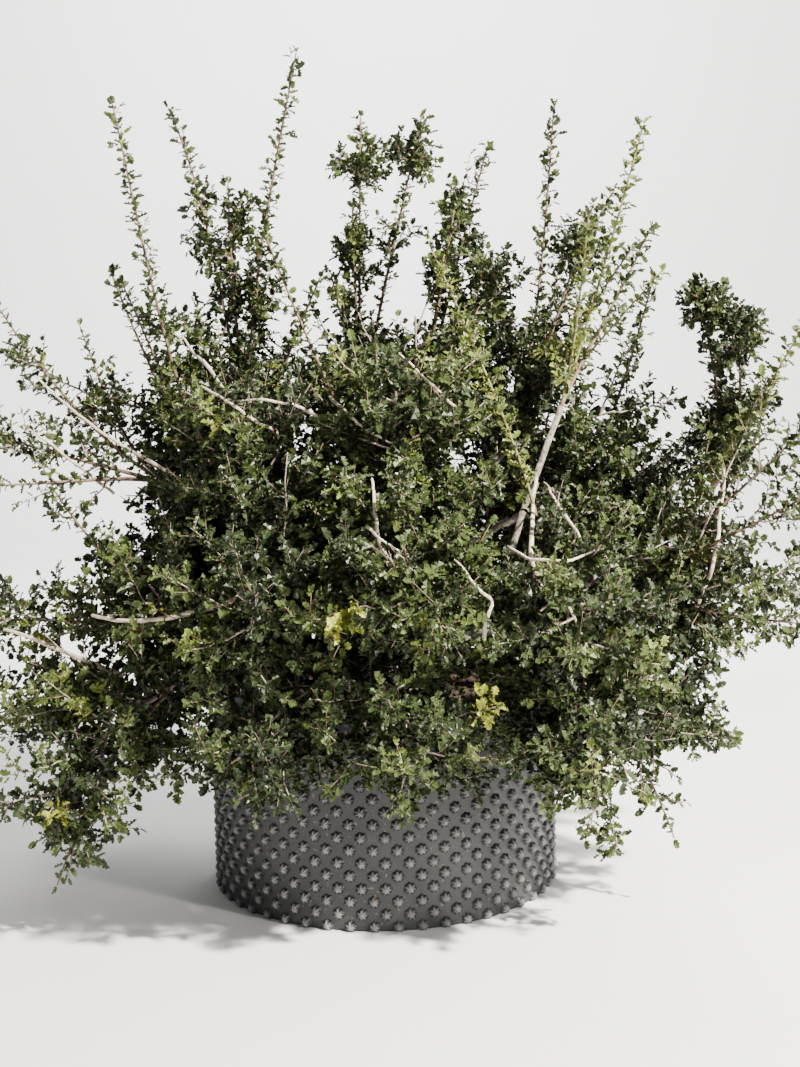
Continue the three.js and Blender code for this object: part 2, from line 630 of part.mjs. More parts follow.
// Side twigs leave a leader at even steps, each turned on by the golden angle.
function addLeader(pieces, mass, leader, seed) {
  const form = FORMS[leader.form];
  const stemEnd = shareOfStem(leader);
  pieces.push(stemSolid(mass, leader));
  const tip = leader.curve.getPointAt(stemEnd);
  const ahead = leader.curve.getPointAt(1).sub(tip).normalize();
  tip.addScaledVector(ahead, -LEAF.rootSunk);
  addLeaf(pieces, mass, tip, ahead, form.leaf * LEAF.endSize, seed);
  const count = Math.round((leader.length * (1 - form.bare) * form.twigs) / 100);
  const leafy = stemEnd - form.bare;
  const even = Array.from({ length: count }, (_, k) => form.bare + ((k + 0.5) / count) * leafy);
  const tufted = (leader.tufts ?? []).flatMap(([share, radius, twigs]) =>
    Array.from({ length: twigs }, (_, k) => share + (((k + 0.5) / twigs - 0.5) * radius) / leader.length),
  );
  [...even, ...tufted].forEach((t, k) => {
    const forward = leader.curve.getTangentAt(t);
    const turned = squareTo(forward, UP).applyAxisAngle(forward, radians(GOLDEN_ANGLE * (k + seed)));
    const lean = radians(form.lean * (TWIG.leanAtFoot - TWIG.leanLoss * t));
    const aim = forward.clone().multiplyScalar(Math.cos(lean)).addScaledVector(turned, Math.sin(lean));
    const start = leader.curve.getPointAt(t);
    while (outness(start, [leader]) < form.core * CORE.rootShare) start.addScaledVector(aim, SPACE.step);
    addTwig(pieces, mass, start, aim, form, seed * 100 + k);
  });
}

// The solids that a core is cut clear of: the pot's outside and every limb, each grown by the gap.
const aroundPot = (z) => level(POT.radius + POT.studHeight + GAP, z, POT.studsRound * 2);
const potEnvelope = solid(loft([aroundPot(-GAP), aroundPot(POT.height + GAP)]));
const obstacles = [potEnvelope, ...[...limbs.keys()].map(grown)];

// The core of a dense clump is a faceted ball that shrinks wherever a limb or a neighbour comes close.
function coreSolid(mass, leader) {
  const { core } = FORMS[leader.form];
  const centre = leader.curve.getPointAt(CORE.middle);
  const ball = new THREE.OctahedronGeometry(1, CORE.detail);
  ball.deleteAttribute("normal").deleteAttribute("uv");
  const merged = mergeVertices(ball, 1e-4);
  const position = merged.getAttribute("position");
  const direction = new THREE.Vector3();
  const probe = new THREE.Vector3();
  for (let i = 0; i < position.count; i++) {
    direction.fromBufferAttribute(position, i).normalize();
    const ahead = (far) => probe.copy(centre).addScaledVector(direction, far);
    const inside = (point) =>
      outness(point, [leader]) < core && inOwnSpace(point, mass, CORE.limbClearance);
    let far = SPACE.step;
    while (inside(ahead(far + SPACE.step))) far += SPACE.step;
    position.setXYZ(i, ...ahead(far).toArray());
  }
  const others = MASSES.filter((other) => other !== mass);
  const stems = others.flatMap((other) =>
    other.leaders.map((one) => stemSolid(other, one, SPACE.limbClearance)),
  );
  return [...obstacles, ...stems].reduce((made, obstacle) => made.subtract(obstacle), solid(merged));
}

function massGeometry(mass, number) {
  const pieces = [];
  mass.leaders.forEach((leader, i) => addLeader(pieces, mass, leader, number * 3 + i + 1));
  for (const leader of mass.leaders) if (FORMS[leader.form].core) pieces.push(coreSolid(mass, leader));
  return geometryOf(join(pieces));
}

// The whole plant in its pot

const plant = new THREE.Group();

function add(name, geometry, [colour, roughness]) {
  const material = new THREE.MeshStandardMaterial({ color: colour, roughness, metalness: 0 });
  material.flatShading = true;
  const mesh = new THREE.Mesh(geometry, material);
  mesh.name = name;
  plant.add(mesh);
}

add("pot", potGeometry(), COLOURS.pot);
add("soil", soilGeometry(), COLOURS.soil);
add("trunk", trunkGeometry(), COLOURS.bark);
BOUGHS.forEach((bough, order) => add(bough.name, boughGeometry(bough, order), COLOURS.bark));
MASSES.forEach((mass, number) => add(mass.name, massGeometry(mass, number), COLOURS.foliage));

export default plant;
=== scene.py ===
# A kermes oak, an evergreen shrub, grown in a round studded nursery pot.
# The plant's sizes are in millimetres until a mesh is made, and meshes are in metres.
# The front of the plant faces -Y and its right side +X. The pot stands on z = 0.

import math

import bpy
import numpy as np
from mathutils import Matrix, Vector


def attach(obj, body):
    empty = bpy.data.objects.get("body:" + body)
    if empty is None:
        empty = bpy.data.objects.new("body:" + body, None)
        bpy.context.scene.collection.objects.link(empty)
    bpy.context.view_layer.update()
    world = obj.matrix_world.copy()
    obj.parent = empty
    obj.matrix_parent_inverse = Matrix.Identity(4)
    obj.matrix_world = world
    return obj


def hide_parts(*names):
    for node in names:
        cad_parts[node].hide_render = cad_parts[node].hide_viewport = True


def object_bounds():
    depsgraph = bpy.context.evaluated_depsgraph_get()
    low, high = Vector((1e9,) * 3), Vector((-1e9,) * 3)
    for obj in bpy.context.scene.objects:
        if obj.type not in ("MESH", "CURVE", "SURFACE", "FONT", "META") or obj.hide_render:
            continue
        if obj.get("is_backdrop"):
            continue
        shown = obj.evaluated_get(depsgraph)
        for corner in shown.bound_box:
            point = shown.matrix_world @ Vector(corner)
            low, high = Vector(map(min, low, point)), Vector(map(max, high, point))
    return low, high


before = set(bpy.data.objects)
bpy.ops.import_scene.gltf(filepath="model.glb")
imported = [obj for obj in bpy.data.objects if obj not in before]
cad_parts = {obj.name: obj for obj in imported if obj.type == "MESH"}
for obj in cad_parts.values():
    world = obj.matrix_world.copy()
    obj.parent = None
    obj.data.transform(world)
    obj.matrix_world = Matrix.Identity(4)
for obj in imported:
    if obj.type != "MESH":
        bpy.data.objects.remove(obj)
cad_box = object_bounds()


# THE POT
# A round nursery container moulded in one piece from dark grey plastic. Its wall is covered with
# staggered rows of small fluted studs that air-prune the roots, and its rim is plain and rounded.

POT_RADIUS = 246.0
POT_HEIGHT = 300.0
POT_WALL = 4.0
POT_FLOOR = 8.0
POT_EDGE = 3.0
POT_SIDES = 192
POLE = 0.5
# First and last ring and their number, up the wall's outside and down its inside
OUTER_RINGS = (20.0, POT_HEIGHT - 12.0, 12)
INNER_RINGS = (POT_HEIGHT - 20.0, POT_FLOOR + 1.0, 8)
STUDS_ROUND = 48
STUD_ROWS = 17
STUD_START = math.radians(-101.6)
LOWEST_STUDS = 6.0
LOWEST_POINT = 0.4
STUD_ROW_STEP = 17.4
STUD_HEIGHT = 7.0
STUD_RADIUS = 9.2
STUD_FLUTES = 7
# Each ring's share of a stud's height, its share of the radius, and how far the flutes swing it
STUD_RINGS = ((0.0, 1.0, 0.06), (0.55, 0.66, 0.22), (0.95, 0.19, 0.30))
STUD_SUNK = 0.8
MM = 0.001
UP = np.array([0.0, 0.0, 1.0])


class Socket:
    """A value in a material. Arithmetic on it adds the Math node of that name."""

    def __init__(self, paint, socket):
        self.paint = paint
        self.socket = socket

    def math(self, operation, *values):
        return self.paint.node("ShaderNodeMath", {"operation": operation}, dict(enumerate(values)))

    def __add__(self, other):
        return self.math("ADD", self, other)

    def __rsub__(self, other):
        return self.math("SUBTRACT", other, self)

    def __mul__(self, other):
        return self.math("MULTIPLY", self, other)

    def __pow__(self, other):
        return self.math("POWER", self, other)

    __radd__ = __add__
    __rmul__ = __mul__


class Paint:
    """A material with one principled shader, whose sockets are set by value or by link."""

    def __init__(self, name):
        self.material = bpy.data.materials.new(name)
        self.material.use_nodes = True
        self.tree = self.material.node_tree
        self.shader = self.tree.nodes["Principled BSDF"]

    def put(self, socket, value):
        if isinstance(value, Socket):
            self.tree.links.new(value.socket, socket)
        else:
            socket.default_value = value

    def node(self, kind, settings=None, inputs=None, output=0):
        made = self.tree.nodes.new(kind)
        for name, value in (settings or {}).items():
            if name == "stops":
                ramp = made.color_ramp
                while len(ramp.elements) < len(value):
                    ramp.elements.new(0.5)
                for element, (position, colour) in zip(ramp.elements, value):
                    element.position = position
                    element.color = (*colour, 1.0)
            else:
                setattr(made, name, value)
        for name, value in (inputs or {}).items():
            self.put(made.inputs[name], value)
        return Socket(self, made.outputs[output])

    def place(self):
        return self.node("ShaderNodeTexCoord", output="Object")

    def noise(self, scale, detail, rough):
        inputs = {"Vector": self.place(), "Scale": scale, "Detail": detail, "Roughness": rough}
        return self.node("ShaderNodeTexNoise", None, inputs)

    def ramp(self, factor, *stops):
        return self.node("ShaderNodeValToRGB", {"stops": stops}, {"Fac": factor})

    def mask(self, factor, low, high):
        """A number that runs smoothly from 0 at low to 1 at high."""
        settings = {"interpolation_type": "SMOOTHSTEP"}
        inputs = {"Value": factor, "From Min": low, "From Max": high}
        return self.node("ShaderNodeMapRange", settings, inputs)

    def mix(self, factor, first, second):
        inputs = {0: factor, 6: first, 7: second}
        return self.node("ShaderNodeMix", {"data_type": "RGBA"}, inputs, output=2)

    def bump(self, height, distance, strength):
        inputs = {"Height": height, "Distance": distance, "Strength": strength}
        return self.node("ShaderNodeBump", None, inputs)

    def finish(self, **values):
        """Sets the shader's sockets, whose names are written with _ for each space."""
        for name, value in values.items():
            self.put(self.shader.inputs[name.replace("_", " ")], value)
        return self.material


def rgb(red, green, blue):
    return (red, green, blue, 1.0)


def make_object(name, points, faces, material, smooth):
    """An object at the origin, from points in millimetres and faces given as lists of corners."""
    mesh = bpy.data.meshes.new(name)
    mesh.from_pydata((points * MM).tolist(), [], faces.tolist())
    if smooth:
        mesh.shade_smooth()
    mesh.materials.append(material)
    made = bpy.data.objects.new(name, mesh)
    bpy.context.scene.collection.objects.link(made)
    return made


def make_piece(name, points, faces, material, slot, nodes, smooth=True):
    """A rigid piece that stands for nodes of the model and takes the finish it is given. The slot is not
    used.
    """
    piece = make_object(name, points, faces, material, smooth)
    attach(piece, "root")
    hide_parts(*nodes)


def round_angles(count):
    """Angles at even steps round a full turn."""
    return np.arange(count) / count * 2 * math.pi


def level_ring(angle):
    """Points at unit distance from Z: x = cos a, y = sin a and z = 0."""
    return np.stack([np.cos(angle), np.sin(angle), 0 * angle], axis=1)


def lathe(profile, sides):
    """Turns a profile of (radius, height) round Z, as one ring of points for each of its points.

    Point (i, j) is profile point i turned by j sides, so x = r cos a and y = r sin a.
    """
    radius, height = np.asarray(profile, float).T
    angle = round_angles(sides)
    x = radius[:, None] * np.cos(angle)
    y = radius[:, None] * np.sin(angle)
    z = np.repeat(height[:, None], sides, axis=1)
    return np.stack([x, y, z], axis=2)


def grid_faces(rows, columns, closed=True):
    """Faces of a grid of points, four corners each. A closed grid's last column joins its first."""
    i, j = np.meshgrid(np.arange(rows - 1), np.arange(columns if closed else columns - 1), indexing="ij")
    k = (j + 1) % columns
    corners = [i * columns + j, i * columns + k, (i + 1) * columns + k, (i + 1) * columns + j]
    return np.stack(corners, axis=2).reshape(-1, 4)


def closed_faces(rows, columns):
    """Triangles of a grid whose columns close round on themselves, with a fan over each end. The fans
    meet in the two points that follow the grid's own."""
    walls = grid_faces(rows, columns)
    i = np.arange(columns)
    j = (i + 1) % columns
    last = (rows - 1) * columns
    foot = np.stack([j, i, np.full(columns, rows * columns)], axis=1)
    end = np.stack([last + i, last + j, np.full(columns, rows * columns + 1)], axis=1)
    return np.concatenate([walls[:, [0, 1, 2]], walls[:, [0, 2, 3]], foot, end])


def with_poles(grid):
    """A grid's points, followed by the middle of its first ring and the middle of its last."""
    return np.concatenate([grid.reshape(-1, 3), grid[[0, -1]].mean(axis=1)])


def corner(centre_radius, centre_height, radius, first, last, steps=4):
    """A rounded corner of a profile, from one angle to another in degrees round its centre."""
    angle = np.radians(np.linspace(first, last, steps))
    return np.stack([centre_radius + radius * np.cos(angle), centre_height + radius * np.sin(angle)], 1)


rim = POT_WALL / 2
inside = POT_RADIUS - POT_WALL
pot_profile = np.concatenate([
    [(POLE, 0), (POT_RADIUS / 2, 0)],
    corner(POT_RADIUS - POT_EDGE, POT_EDGE, POT_EDGE, -90, 0),
    [(POT_RADIUS, z) for z in np.linspace(*OUTER_RINGS)],
    corner(POT_RADIUS - rim, POT_HEIGHT - rim, rim, 0, 180, 7),
    [(inside, z) for z in np.linspace(*INNER_RINGS)],
    [(inside - 1, POT_FLOOR), (POLE, POT_FLOOR)],
])
pot_grid = lathe(pot_profile, POT_SIDES)


def stud_shape():
    """One stud as rings round its axis, from its sunk base to its blunt tip.

    Its section is a circle whose radius swings by a cosine with one wave to a flute, and the swing
    grows up the cone, so that the flutes stand out as ribs. Columns are outward, sideways and up.
    """
    angle = round_angles(2 * STUD_FLUTES)
    wave = np.cos(STUD_FLUTES * angle)
    rings = []
    for share, radius, swing in STUD_RINGS:
        across = radius * STUD_RADIUS * (1 + swing * wave)
        out = np.full_like(angle, share * (STUD_HEIGHT + STUD_SUNK) - STUD_SUNK)
        rings.append(np.stack([out, across * np.cos(angle), across * np.sin(angle)], axis=1))
    ends = np.array([[-STUD_SUNK, 0.0, 0.0], [STUD_HEIGHT, 0.0, 0.0]])
    return np.concatenate([*rings, ends])


def copies(points, faces, frames, origins):
    """Copies of one shape, each laid in its own frame of three axes at its own origin."""
    placed = np.einsum("pk,nkx->npx", points, frames) + origins[:, None, :]
    shifted = faces[None] + (np.arange(len(origins)) * len(points))[:, None, None]
    return placed.reshape(-1, 3), shifted.reshape(-1, faces.shape[1])


stud_row, stud_column = np.meshgrid(np.arange(STUD_ROWS), np.arange(STUDS_ROUND), indexing="ij")
stud_turn = (stud_column + 0.5 * (stud_row % 2)).ravel() / STUDS_ROUND * 2 * math.pi + STUD_START
stud_out = level_ring(stud_turn)
stud_side = np.cross(UP, stud_out)
stud_frames = np.stack([stud_out, stud_side, np.broadcast_to(UP, stud_out.shape)], axis=1)
stud_origins = stud_out * POT_RADIUS
stud_origins[:, 2] = LOWEST_STUDS + stud_row.ravel() * STUD_ROW_STEP
stud_faces = closed_faces(len(STUD_RINGS), 2 * STUD_FLUTES)
stud_points, stud_triangles = copies(stud_shape(), stud_faces, stud_frames, stud_origins)
stud_points[:, 2] = np.maximum(stud_points[:, 2], LOWEST_POINT)


def pot_material():
    """Dull dark plastic: pale on the studs' tips, partly scuffed wear and partly a painted highlight for
    their lit ribs, with painted shade towards the top, where it is darker and less dusty under the
    foliage, dusty in patches and at the foot, with specks of earth."""
    paint = Paint("pot_plastic")
    parts = paint.node("ShaderNodeSeparateXYZ", None, {"Vector": paint.place()})
    x, y, z = (Socket(paint, parts.socket.node.outputs[axis]) for axis in "XYZ")
    out = (x * x + y * y) ** 0.5
    # Paler stud tips: partly worn plastic, partly a painted highlight that stands in for their lit ribs.
    tip = paint.mask(out, (POT_RADIUS + 2.0) * MM, (POT_RADIUS + 6.2) * MM)
    # Painted shade: towards the pot's top, under the overhanging foliage, the plastic is darker and
    # carries less pale dust.
    high = paint.mask(z, 0.07, 0.26)
    patches = paint.mask(paint.noise(9, 4, 0.6), 0.44, 0.68)
    grain = paint.mask(paint.noise(420, 2, 0.6), 0.45, 0.75)
    foot = 1 - paint.mask(z, 0.0, 0.05)
    specks = paint.mask(paint.noise(160, 1, 0.5), 0.68, 0.74)
    settled = (patches * 0.34 + grain * 0.14) * (1 - high * 0.7)
    dust = paint.node("ShaderNodeClamp", None, {0: settled + foot * 0.22})
    worn_and_highlit = paint.mix(tip, rgb(0.014, 0.015, 0.016), rgb(0.180, 0.181, 0.183))
    plastic = paint.mix(high * 0.8, worn_and_highlit, rgb(0.012, 0.012, 0.013))
    dusty = paint.mix(dust * 0.5, plastic, rgb(0.122, 0.124, 0.122))
    colour = paint.mix(specks * 0.5, dusty, rgb(0.16, 0.12, 0.085))
    return paint.finish(
        Base_Color=colour,
        Roughness=0.4 + dust * 0.3,
        Specular_IOR_Level=0.36,
        Normal=paint.bump(paint.noise(900, 2, 0.6), 0.0004, 0.35),
    )


plastic_finish = pot_material()
pot_faces = closed_faces(*pot_grid.shape[:2])
make_piece("pot_body", with_poles(pot_grid), pot_faces, plastic_finish, "pot_plastic", ["pot"])
make_piece("pot_studs", stud_points, stud_triangles, plastic_finish, "pot_plastic", ["pot"], smooth=False)


# THE COMPOST
# The pot is filled to 30 mm below its rim with damp bark compost, lightly domed. Loose chips of
# bark lie on it at every slant.

SOIL_TOP = 270.0
SOIL_DOME = 6.0
SOIL_RINGS = 40
SOIL_SIDES = 120
SOIL_GAP = 0.3
SOIL_LIFT = 0.4
SOIL_RELIEF = 2.6
SOIL_LUMP = 34.0
SOIL_SUNK = 1.5
CHIP_COUNT = 1500
CHIP_SIZES = (5.0, 16.0)
CHIP_WIDTH = 0.45
CHIP_HALF = 0.09
CHIP_SLANT = 0.45
CHIP_LIFT = (-1.5, 2.5)
# Shares of the soil's area that the chips lie between, and the share of its radius that they reach
CHIP_AREA = (0.03, 1.0)
CHIP_REACH = 0.95
WAVE_AXIS = 2.2
WAVE_WARP = 0.8
rng = np.random.default_rng(20)


def waves(points, size, salt, octaves):
    """A smooth bumpy number from about -1 to 1 at each point: a sum of sines of turned and warped
    coordinates, each octave half the size and half as strong as the one before."""
    seeds = np.random.default_rng(salt)
    total = np.zeros(points.shape[:-1])
    for octave in range(octaves):
        axes = seeds.normal(size=(4, 3))
        phases = seeds.uniform(0, 2 * math.pi, 4)
        angle = points @ axes.T * (2.0**octave * 2 * math.pi / size / WAVE_AXIS) + phases
        warp = WAVE_WARP * np.roll(np.sin(angle), 1, axis=-1)
        total += 0.5**octave * np.sin(angle + warp).mean(axis=-1)
    return total


def unit(vectors):
    return vectors / np.maximum(np.linalg.norm(vectors, axis=-1, keepdims=True), 1e-9)


def soil_height(away):
    """The dome's height: the soil's top less the dome times the square of the share of the radius."""
    return SOIL_TOP - SOIL_DOME * (away / soil_outer) ** 2


soil_outer = inside - SOIL_GAP
soil_radii = np.linspace(soil_outer, POLE, SOIL_RINGS)
soil_profile = np.concatenate([
    [(POLE, POT_FLOOR + SOIL_LIFT), (soil_outer, POT_FLOOR + SOIL_LIFT)],
    np.stack([soil_radii, soil_height(soil_radii)], axis=1),
])
soil_grid = lathe(soil_profile, SOIL_SIDES)
soil_grid[2:, :, 2] += SOIL_RELIEF * waves(soil_grid, SOIL_LUMP, 3, 4)[2:] - SOIL_SUNK
soil_faces = closed_faces(len(soil_profile), SOIL_SIDES)


def any_frames(count, slant):
    """Frames turned anyhow round Z and tilted off it by chance, by about the slant in radians."""
    normal = unit(UP + slant * rng.normal(size=(count, 3)))
    first = unit(np.cross(normal, rng.normal(size=(count, 3))))
    return np.stack([first, np.cross(normal, first), normal], axis=1)


def chips(count):
    """Flat slabs with six corners, each a stretched hexagon with sloping sides."""
    outline = level_ring(round_angles(6)) * [1, CHIP_WIDTH, 1]
    shape = np.concatenate([outline + [0, 0, CHIP_HALF], outline * 0.9 - [0, 0, CHIP_HALF]])
    cap = np.array([[0, 1, 2], [0, 2, 3], [0, 3, 4], [0, 4, 5]])
    i = np.arange(6)
    j = (i + 1) % 6
    skirt = np.concatenate([np.stack([6 + i, 6 + j, j], 1), np.stack([6 + i, j, i], 1)])
    faces = np.concatenate([cap, 6 + cap[:, ::-1], skirt])
    away = soil_outer * CHIP_REACH * np.sqrt(rng.uniform(*CHIP_AREA, count))
    turn = rng.uniform(0, 2 * math.pi, count)
    height = soil_height(away) + rng.uniform(*CHIP_LIFT, count)
    origins = np.stack([away * np.cos(turn), away * np.sin(turn), height], axis=1)
    length = rng.uniform(*CHIP_SIZES, count)[:, None, None] / 2
    return copies(shape, faces, any_frames(count, CHIP_SLANT) * length, origins)


def compost_material():
    paint = Paint("compost")
    mottle = paint.noise(60, 5, 0.65)
    colour = paint.ramp(
        mottle, (0.3, (0.012, 0.008, 0.006)), (0.62, (0.055, 0.034, 0.02)), (0.8, (0.12, 0.085, 0.055))
    )
    return paint.finish(Base_Color=colour, Roughness=0.93, Normal=paint.bump(mottle, 0.004, 0.8))


compost_finish = compost_material()
make_piece("compost", with_poles(soil_grid), soil_faces, compost_finish, "soil", ["soil"])
chip_points, chip_faces = chips(CHIP_COUNT)
make_piece("bark_chips", chip_points, chip_faces, compost_finish, "soil", ["soil"], smooth=False)


# THE TRUNK AND BOUGHS
# A short leaning trunk with a root flare forks low down into many slender boughs. The bark is
# grey-brown and lightly fissured, and each bough grows out of its parent at a share of its length.

GAP = 0.3
# The trunk's fork, its radius in the root flare, its radii at foot and top, and the flare's share
TRUNK_TOP = (-8.0, 6.0, 356.0)
TRUNK_FLARE = 46.0
TRUNK_THICK = (30.0, 21.0)
TRUNK_FLARE_SHARE = 0.3
ROOTS = 5
ROOT_SWELL = 0.1
# Each bough's parent, its share of the parent's length, its tip, the rise of its middle, and its
# radii at foot and tip
BOUGHS = [
    ("bough_left", "trunk", 0.66, (-190, -40, 545), 30, (11, 7)),
    ("bough_centre_back", "trunk", 0.97, (-20, 80, 640), 0, (11, 7)),
    ("bough_centre_front", "trunk", 0.97, (50, -10, 625), 0, (9, 6)),
    ("bough_right_upright", "trunk", 0.86, (185, 45, 620), 10, (10, 7)),
    ("bough_right", "trunk", 0.62, (474, -40, 560), -50, (11, 6)),
    ("bough_front_fork", "trunk", 0.84, (195, -250, 490), 25, (10, 6.5)),
    ("bough_front", "trunk", 0.8, (10, -150, 520), 15, (10, 7)),
    ("bough_front_left", "trunk", 0.7, (-95, -160, 460), 25, (9, 7)),
    ("bough_left_low", "trunk", 0.5, (-205, -110, 400), 30, (9, 6.5)),
    ("bough_front_low", "trunk", 0.42, (-25, -185, 365), 35, (9, 7)),
    ("bough_right_low", "trunk", 0.46, (195, -170, 370), 30, (9, 7)),
    ("bough_back_left", "trunk", 0.62, (-140, 170, 450), 30, (10, 7)),
    ("bough_back_right", "trunk", 0.72, (150, 175, 450), 30, (10, 7)),
    ("bough_back_low", "trunk", 0.5, (10, 190, 375), 30, (9, 7)),
    ("bough_left_back", "bough_centre_back", 0.3, (-150, 50, 620), 25, (8, 6)),
    ("bough_left_spread", "bough_left", 0.62, (-310, -20, 590), 10, (7, 6.5)),
    ("bough_left_droop", "bough_left_low", 0.6, (-265, -180, 340), 20, (7, 6.5)),
    ("bough_right_front", "bough_front_fork", 0.86, (245, -170, 690), 0, (6, 5)),
    ("bough_right_spread", "bough_right", 0.35, (290, -105, 430), 10, (8, 7)),
    ("bough_right_back", "bough_right_upright", 0.35, (280, 60, 560), 5, (7, 6)),
]
CURVE_POINTS = 161
BARK_SIDES = 20
BARK_STEP = 6.0
BARK_RELIEF = 0.9
FISSURE_SIZE = 12.0
FISSURE_ACROSS = 1.6
FISSURE_ALONG = 0.22
SWELL_SIZE = 60.0
SWELL = 0.05
BOUGH_WANDER = 6.0
WANDER_SIZE = 90.0
BOUGH_SLIMMED = 0.82


def smooth_curve(controls, shares):
    """Points of a curve that is drawn towards its controls. Control k of n counts by the number of
    ways to choose k out of n, times the share to the power k, times what is left to the power n - k."""
    controls = np.asarray(controls, float)
    order = len(controls) - 1
    powers = np.arange(order + 1)
    choose = np.array([math.comb(order, k) for k in powers])
    t = np.asarray(shares, float)[:, None]
    return (choose * t**powers * (1 - t) ** (order - powers)) @ controls


def at_length(path, shares):
    """Points at shares of a path's length, by straight lines between its given points."""
    steps = np.linalg.norm(np.diff(path, axis=0), axis=1)
    length = np.concatenate([[0], np.cumsum(steps)])
    shares = np.asarray(shares, float) * length[-1]
    return np.stack([np.interp(shares, length, path[:, k]) for k in range(3)], axis=-1)


def even_curve(controls):
    """A smooth curve as many points at equal steps of its length."""
    shares = np.linspace(0, 1, CURVE_POINTS)
    return at_length(smooth_curve(controls, shares), shares)


def between(first, last, share):
    """Runs evenly from the first value at a share of 0 to the last at 1."""
    return first + (last - first) * share


def path_length(path):
    return np.linalg.norm(np.diff(path, axis=0), axis=1).sum()


def square_to(directions, hints):
    """The part of each hint that is square to its direction, at unit length."""
    side = hints - (hints * directions).sum(-1, keepdims=True) * directions
    spare = np.cross(directions, np.roll(directions, 1, axis=-1))
    short = np.linalg.norm(side, axis=-1, keepdims=True) < 0.05
    return unit(np.where(short, spare, side))


def turned(vectors, axes, angles):
    """Vectors square to their axes, turned round them by angles in radians."""
    return vectors * np.cos(angles)[:, None] + np.cross(axes, vectors) * np.sin(angles)[:, None]


def trunk_radius(t):
    """An even taper, and a flare that falls to nothing by the square of the share left of it."""
    flare = np.maximum(0, 1 - t / TRUNK_FLARE_SHARE) ** 2
    return between(*TRUNK_THICK, t) + flare * (TRUNK_FLARE - TRUNK_THICK[0])


curve_shares = np.linspace(0, 1, CURVE_POINTS)
trunk_foot = (0.0, 0.0, SOIL_TOP + GAP)
limbs = {"trunk": (even_curve([trunk_foot, TRUNK_TOP]), trunk_radius(curve_shares))}
for name, parent, share, tip, rise, (thick, thin) in BOUGHS:
    start = at_length(limbs[parent][0], [share])[0]
    middle = (start + np.array(tip)) / 2 + 2 * rise * UP
    limbs[name] = (even_curve([start, middle, tip]), between(thick, thin, curve_shares))


def tubes(paths, radii, sides, hints=None):
    """Closed tubes along paths of equally many points. Each ring lies square to the path there. The
    foot closes flat, and the tip closes in a point a radius past the last ring. The radii are given
    for each point of a path, or for each point and each side."""
    count, steps = paths.shape[:2]
    tangents = unit(np.gradient(paths, axis=1))
    if hints is None:
        hints = np.cross(tangents[:, :1], rng.normal(size=(count, 1, 3)))
    side = square_to(tangents, np.broadcast_to(hints, tangents.shape))
    other = np.cross(tangents, side)
    angle = round_angles(sides)
    spread = side[:, :, None] * np.cos(angle)[:, None] + other[:, :, None] * np.sin(angle)[:, None]
    if radii.ndim == 2:
        radii = radii[..., None]
    rings = paths[:, :, None] + spread * radii[..., None]
    tips = paths[:, -1] + tangents[:, -1] * radii[:, -1].mean(axis=-1, keepdims=True)
    caps = np.stack([paths[:, 0], tips], axis=1)
    points = np.concatenate([rings.reshape(count, -1, 3), caps], axis=1)
    faces = closed_faces(steps, sides)
    shifted = faces[None] + (np.arange(count) * points.shape[1])[:, None, None]
    return points.reshape(-1, 3), shifted.reshape(-1, 3)


def merged(parts):
    """Joins several (points, faces) into one."""
    offset = np.cumsum([0] + [len(points) for points, _ in parts[:-1]])
    points = np.concatenate([points for points, _ in parts])
    return points, np.concatenate([faces + shift for (_, faces), shift in zip(parts, offset)])


def barked(name, path, radius):
    """One limb with bark relief: its middle wanders and its radius swells and shrinks by bumpy waves
    that are stretched along it. The trunk stays straight, and its foot swells out towards the roots."""
    is_trunk = name == "trunk"
    shares = np.linspace(0, 1, max(12, int(path_length(path) / BARK_STEP)))
    middle = at_length(path, shares)
    wander = np.stack([waves(middle, WANDER_SIZE, 5 + k, 2) for k in range(3)], axis=1)
    ends = np.sin(math.pi * shares)[:, None]
    middle = middle + (0 if is_trunk else BOUGH_WANDER) * wander * ends
    thick = np.interp(shares, curve_shares, radius) * (1 if is_trunk else BOUGH_SLIMMED)
    angle = round_angles(BARK_SIDES)
    across = level_ring(angle) * thick[:, None, None] * FISSURE_ACROSS
    where = across + shares[:, None, None] * UP * path_length(path) * FISSURE_ALONG
    swell = 1 + SWELL * waves(where, SWELL_SIZE, 9, 2)
    radii = thick[:, None] * swell + BARK_RELIEF * waves(where, FISSURE_SIZE, len(name), 3)
    if is_trunk:
        flare = np.maximum(0, 1 - shares / TRUNK_FLARE_SHARE)[:, None]
        radii = radii * (1 + ROOT_SWELL * flare * np.cos(ROOTS * angle + 1.3 * np.sin(2 * angle)))
    return tubes(middle[None], radii[None], BARK_SIDES, hints=np.array([1.0, 0.0, 0.0]))


def bark_material():
    """Grey-brown bark with dark fissures, paler ridges and a few grey-green lichen patches."""
    paint = Paint("bark")
    fissures = paint.noise(170, 5, 0.7)
    patches = paint.mask(paint.noise(22, 3, 0.5), 0.52, 0.66)
    colour = paint.ramp(
        fissures, (0.32, (0.055, 0.043, 0.034)), (0.5, (0.20, 0.165, 0.135)), (0.68, (0.42, 0.37, 0.31))
    )
    lichen = paint.mix(patches * 0.55, colour, rgb(0.36, 0.37, 0.29))
    return paint.finish(Base_Color=lichen, Roughness=0.85, Normal=paint.bump(fissures, 0.0025, 0.7))


bark_finish = bark_material()
bark_points, bark_faces = merged([barked(name, path, radius) for name, (path, radius) in limbs.items()])
make_piece("trunk_and_boughs", bark_points, bark_faces, bark_finish, "bark", list(limbs))


# THE STEMS AND TWIGS
# Each mass of foliage grows from a bough's tip on one or more leaders. Side twigs leave a leader at
# even steps, each turned on by the golden angle, and bear short twigs of their own. Old stems are
# grey-brown, young twigs reddish, and the newest shoots yellow-green.

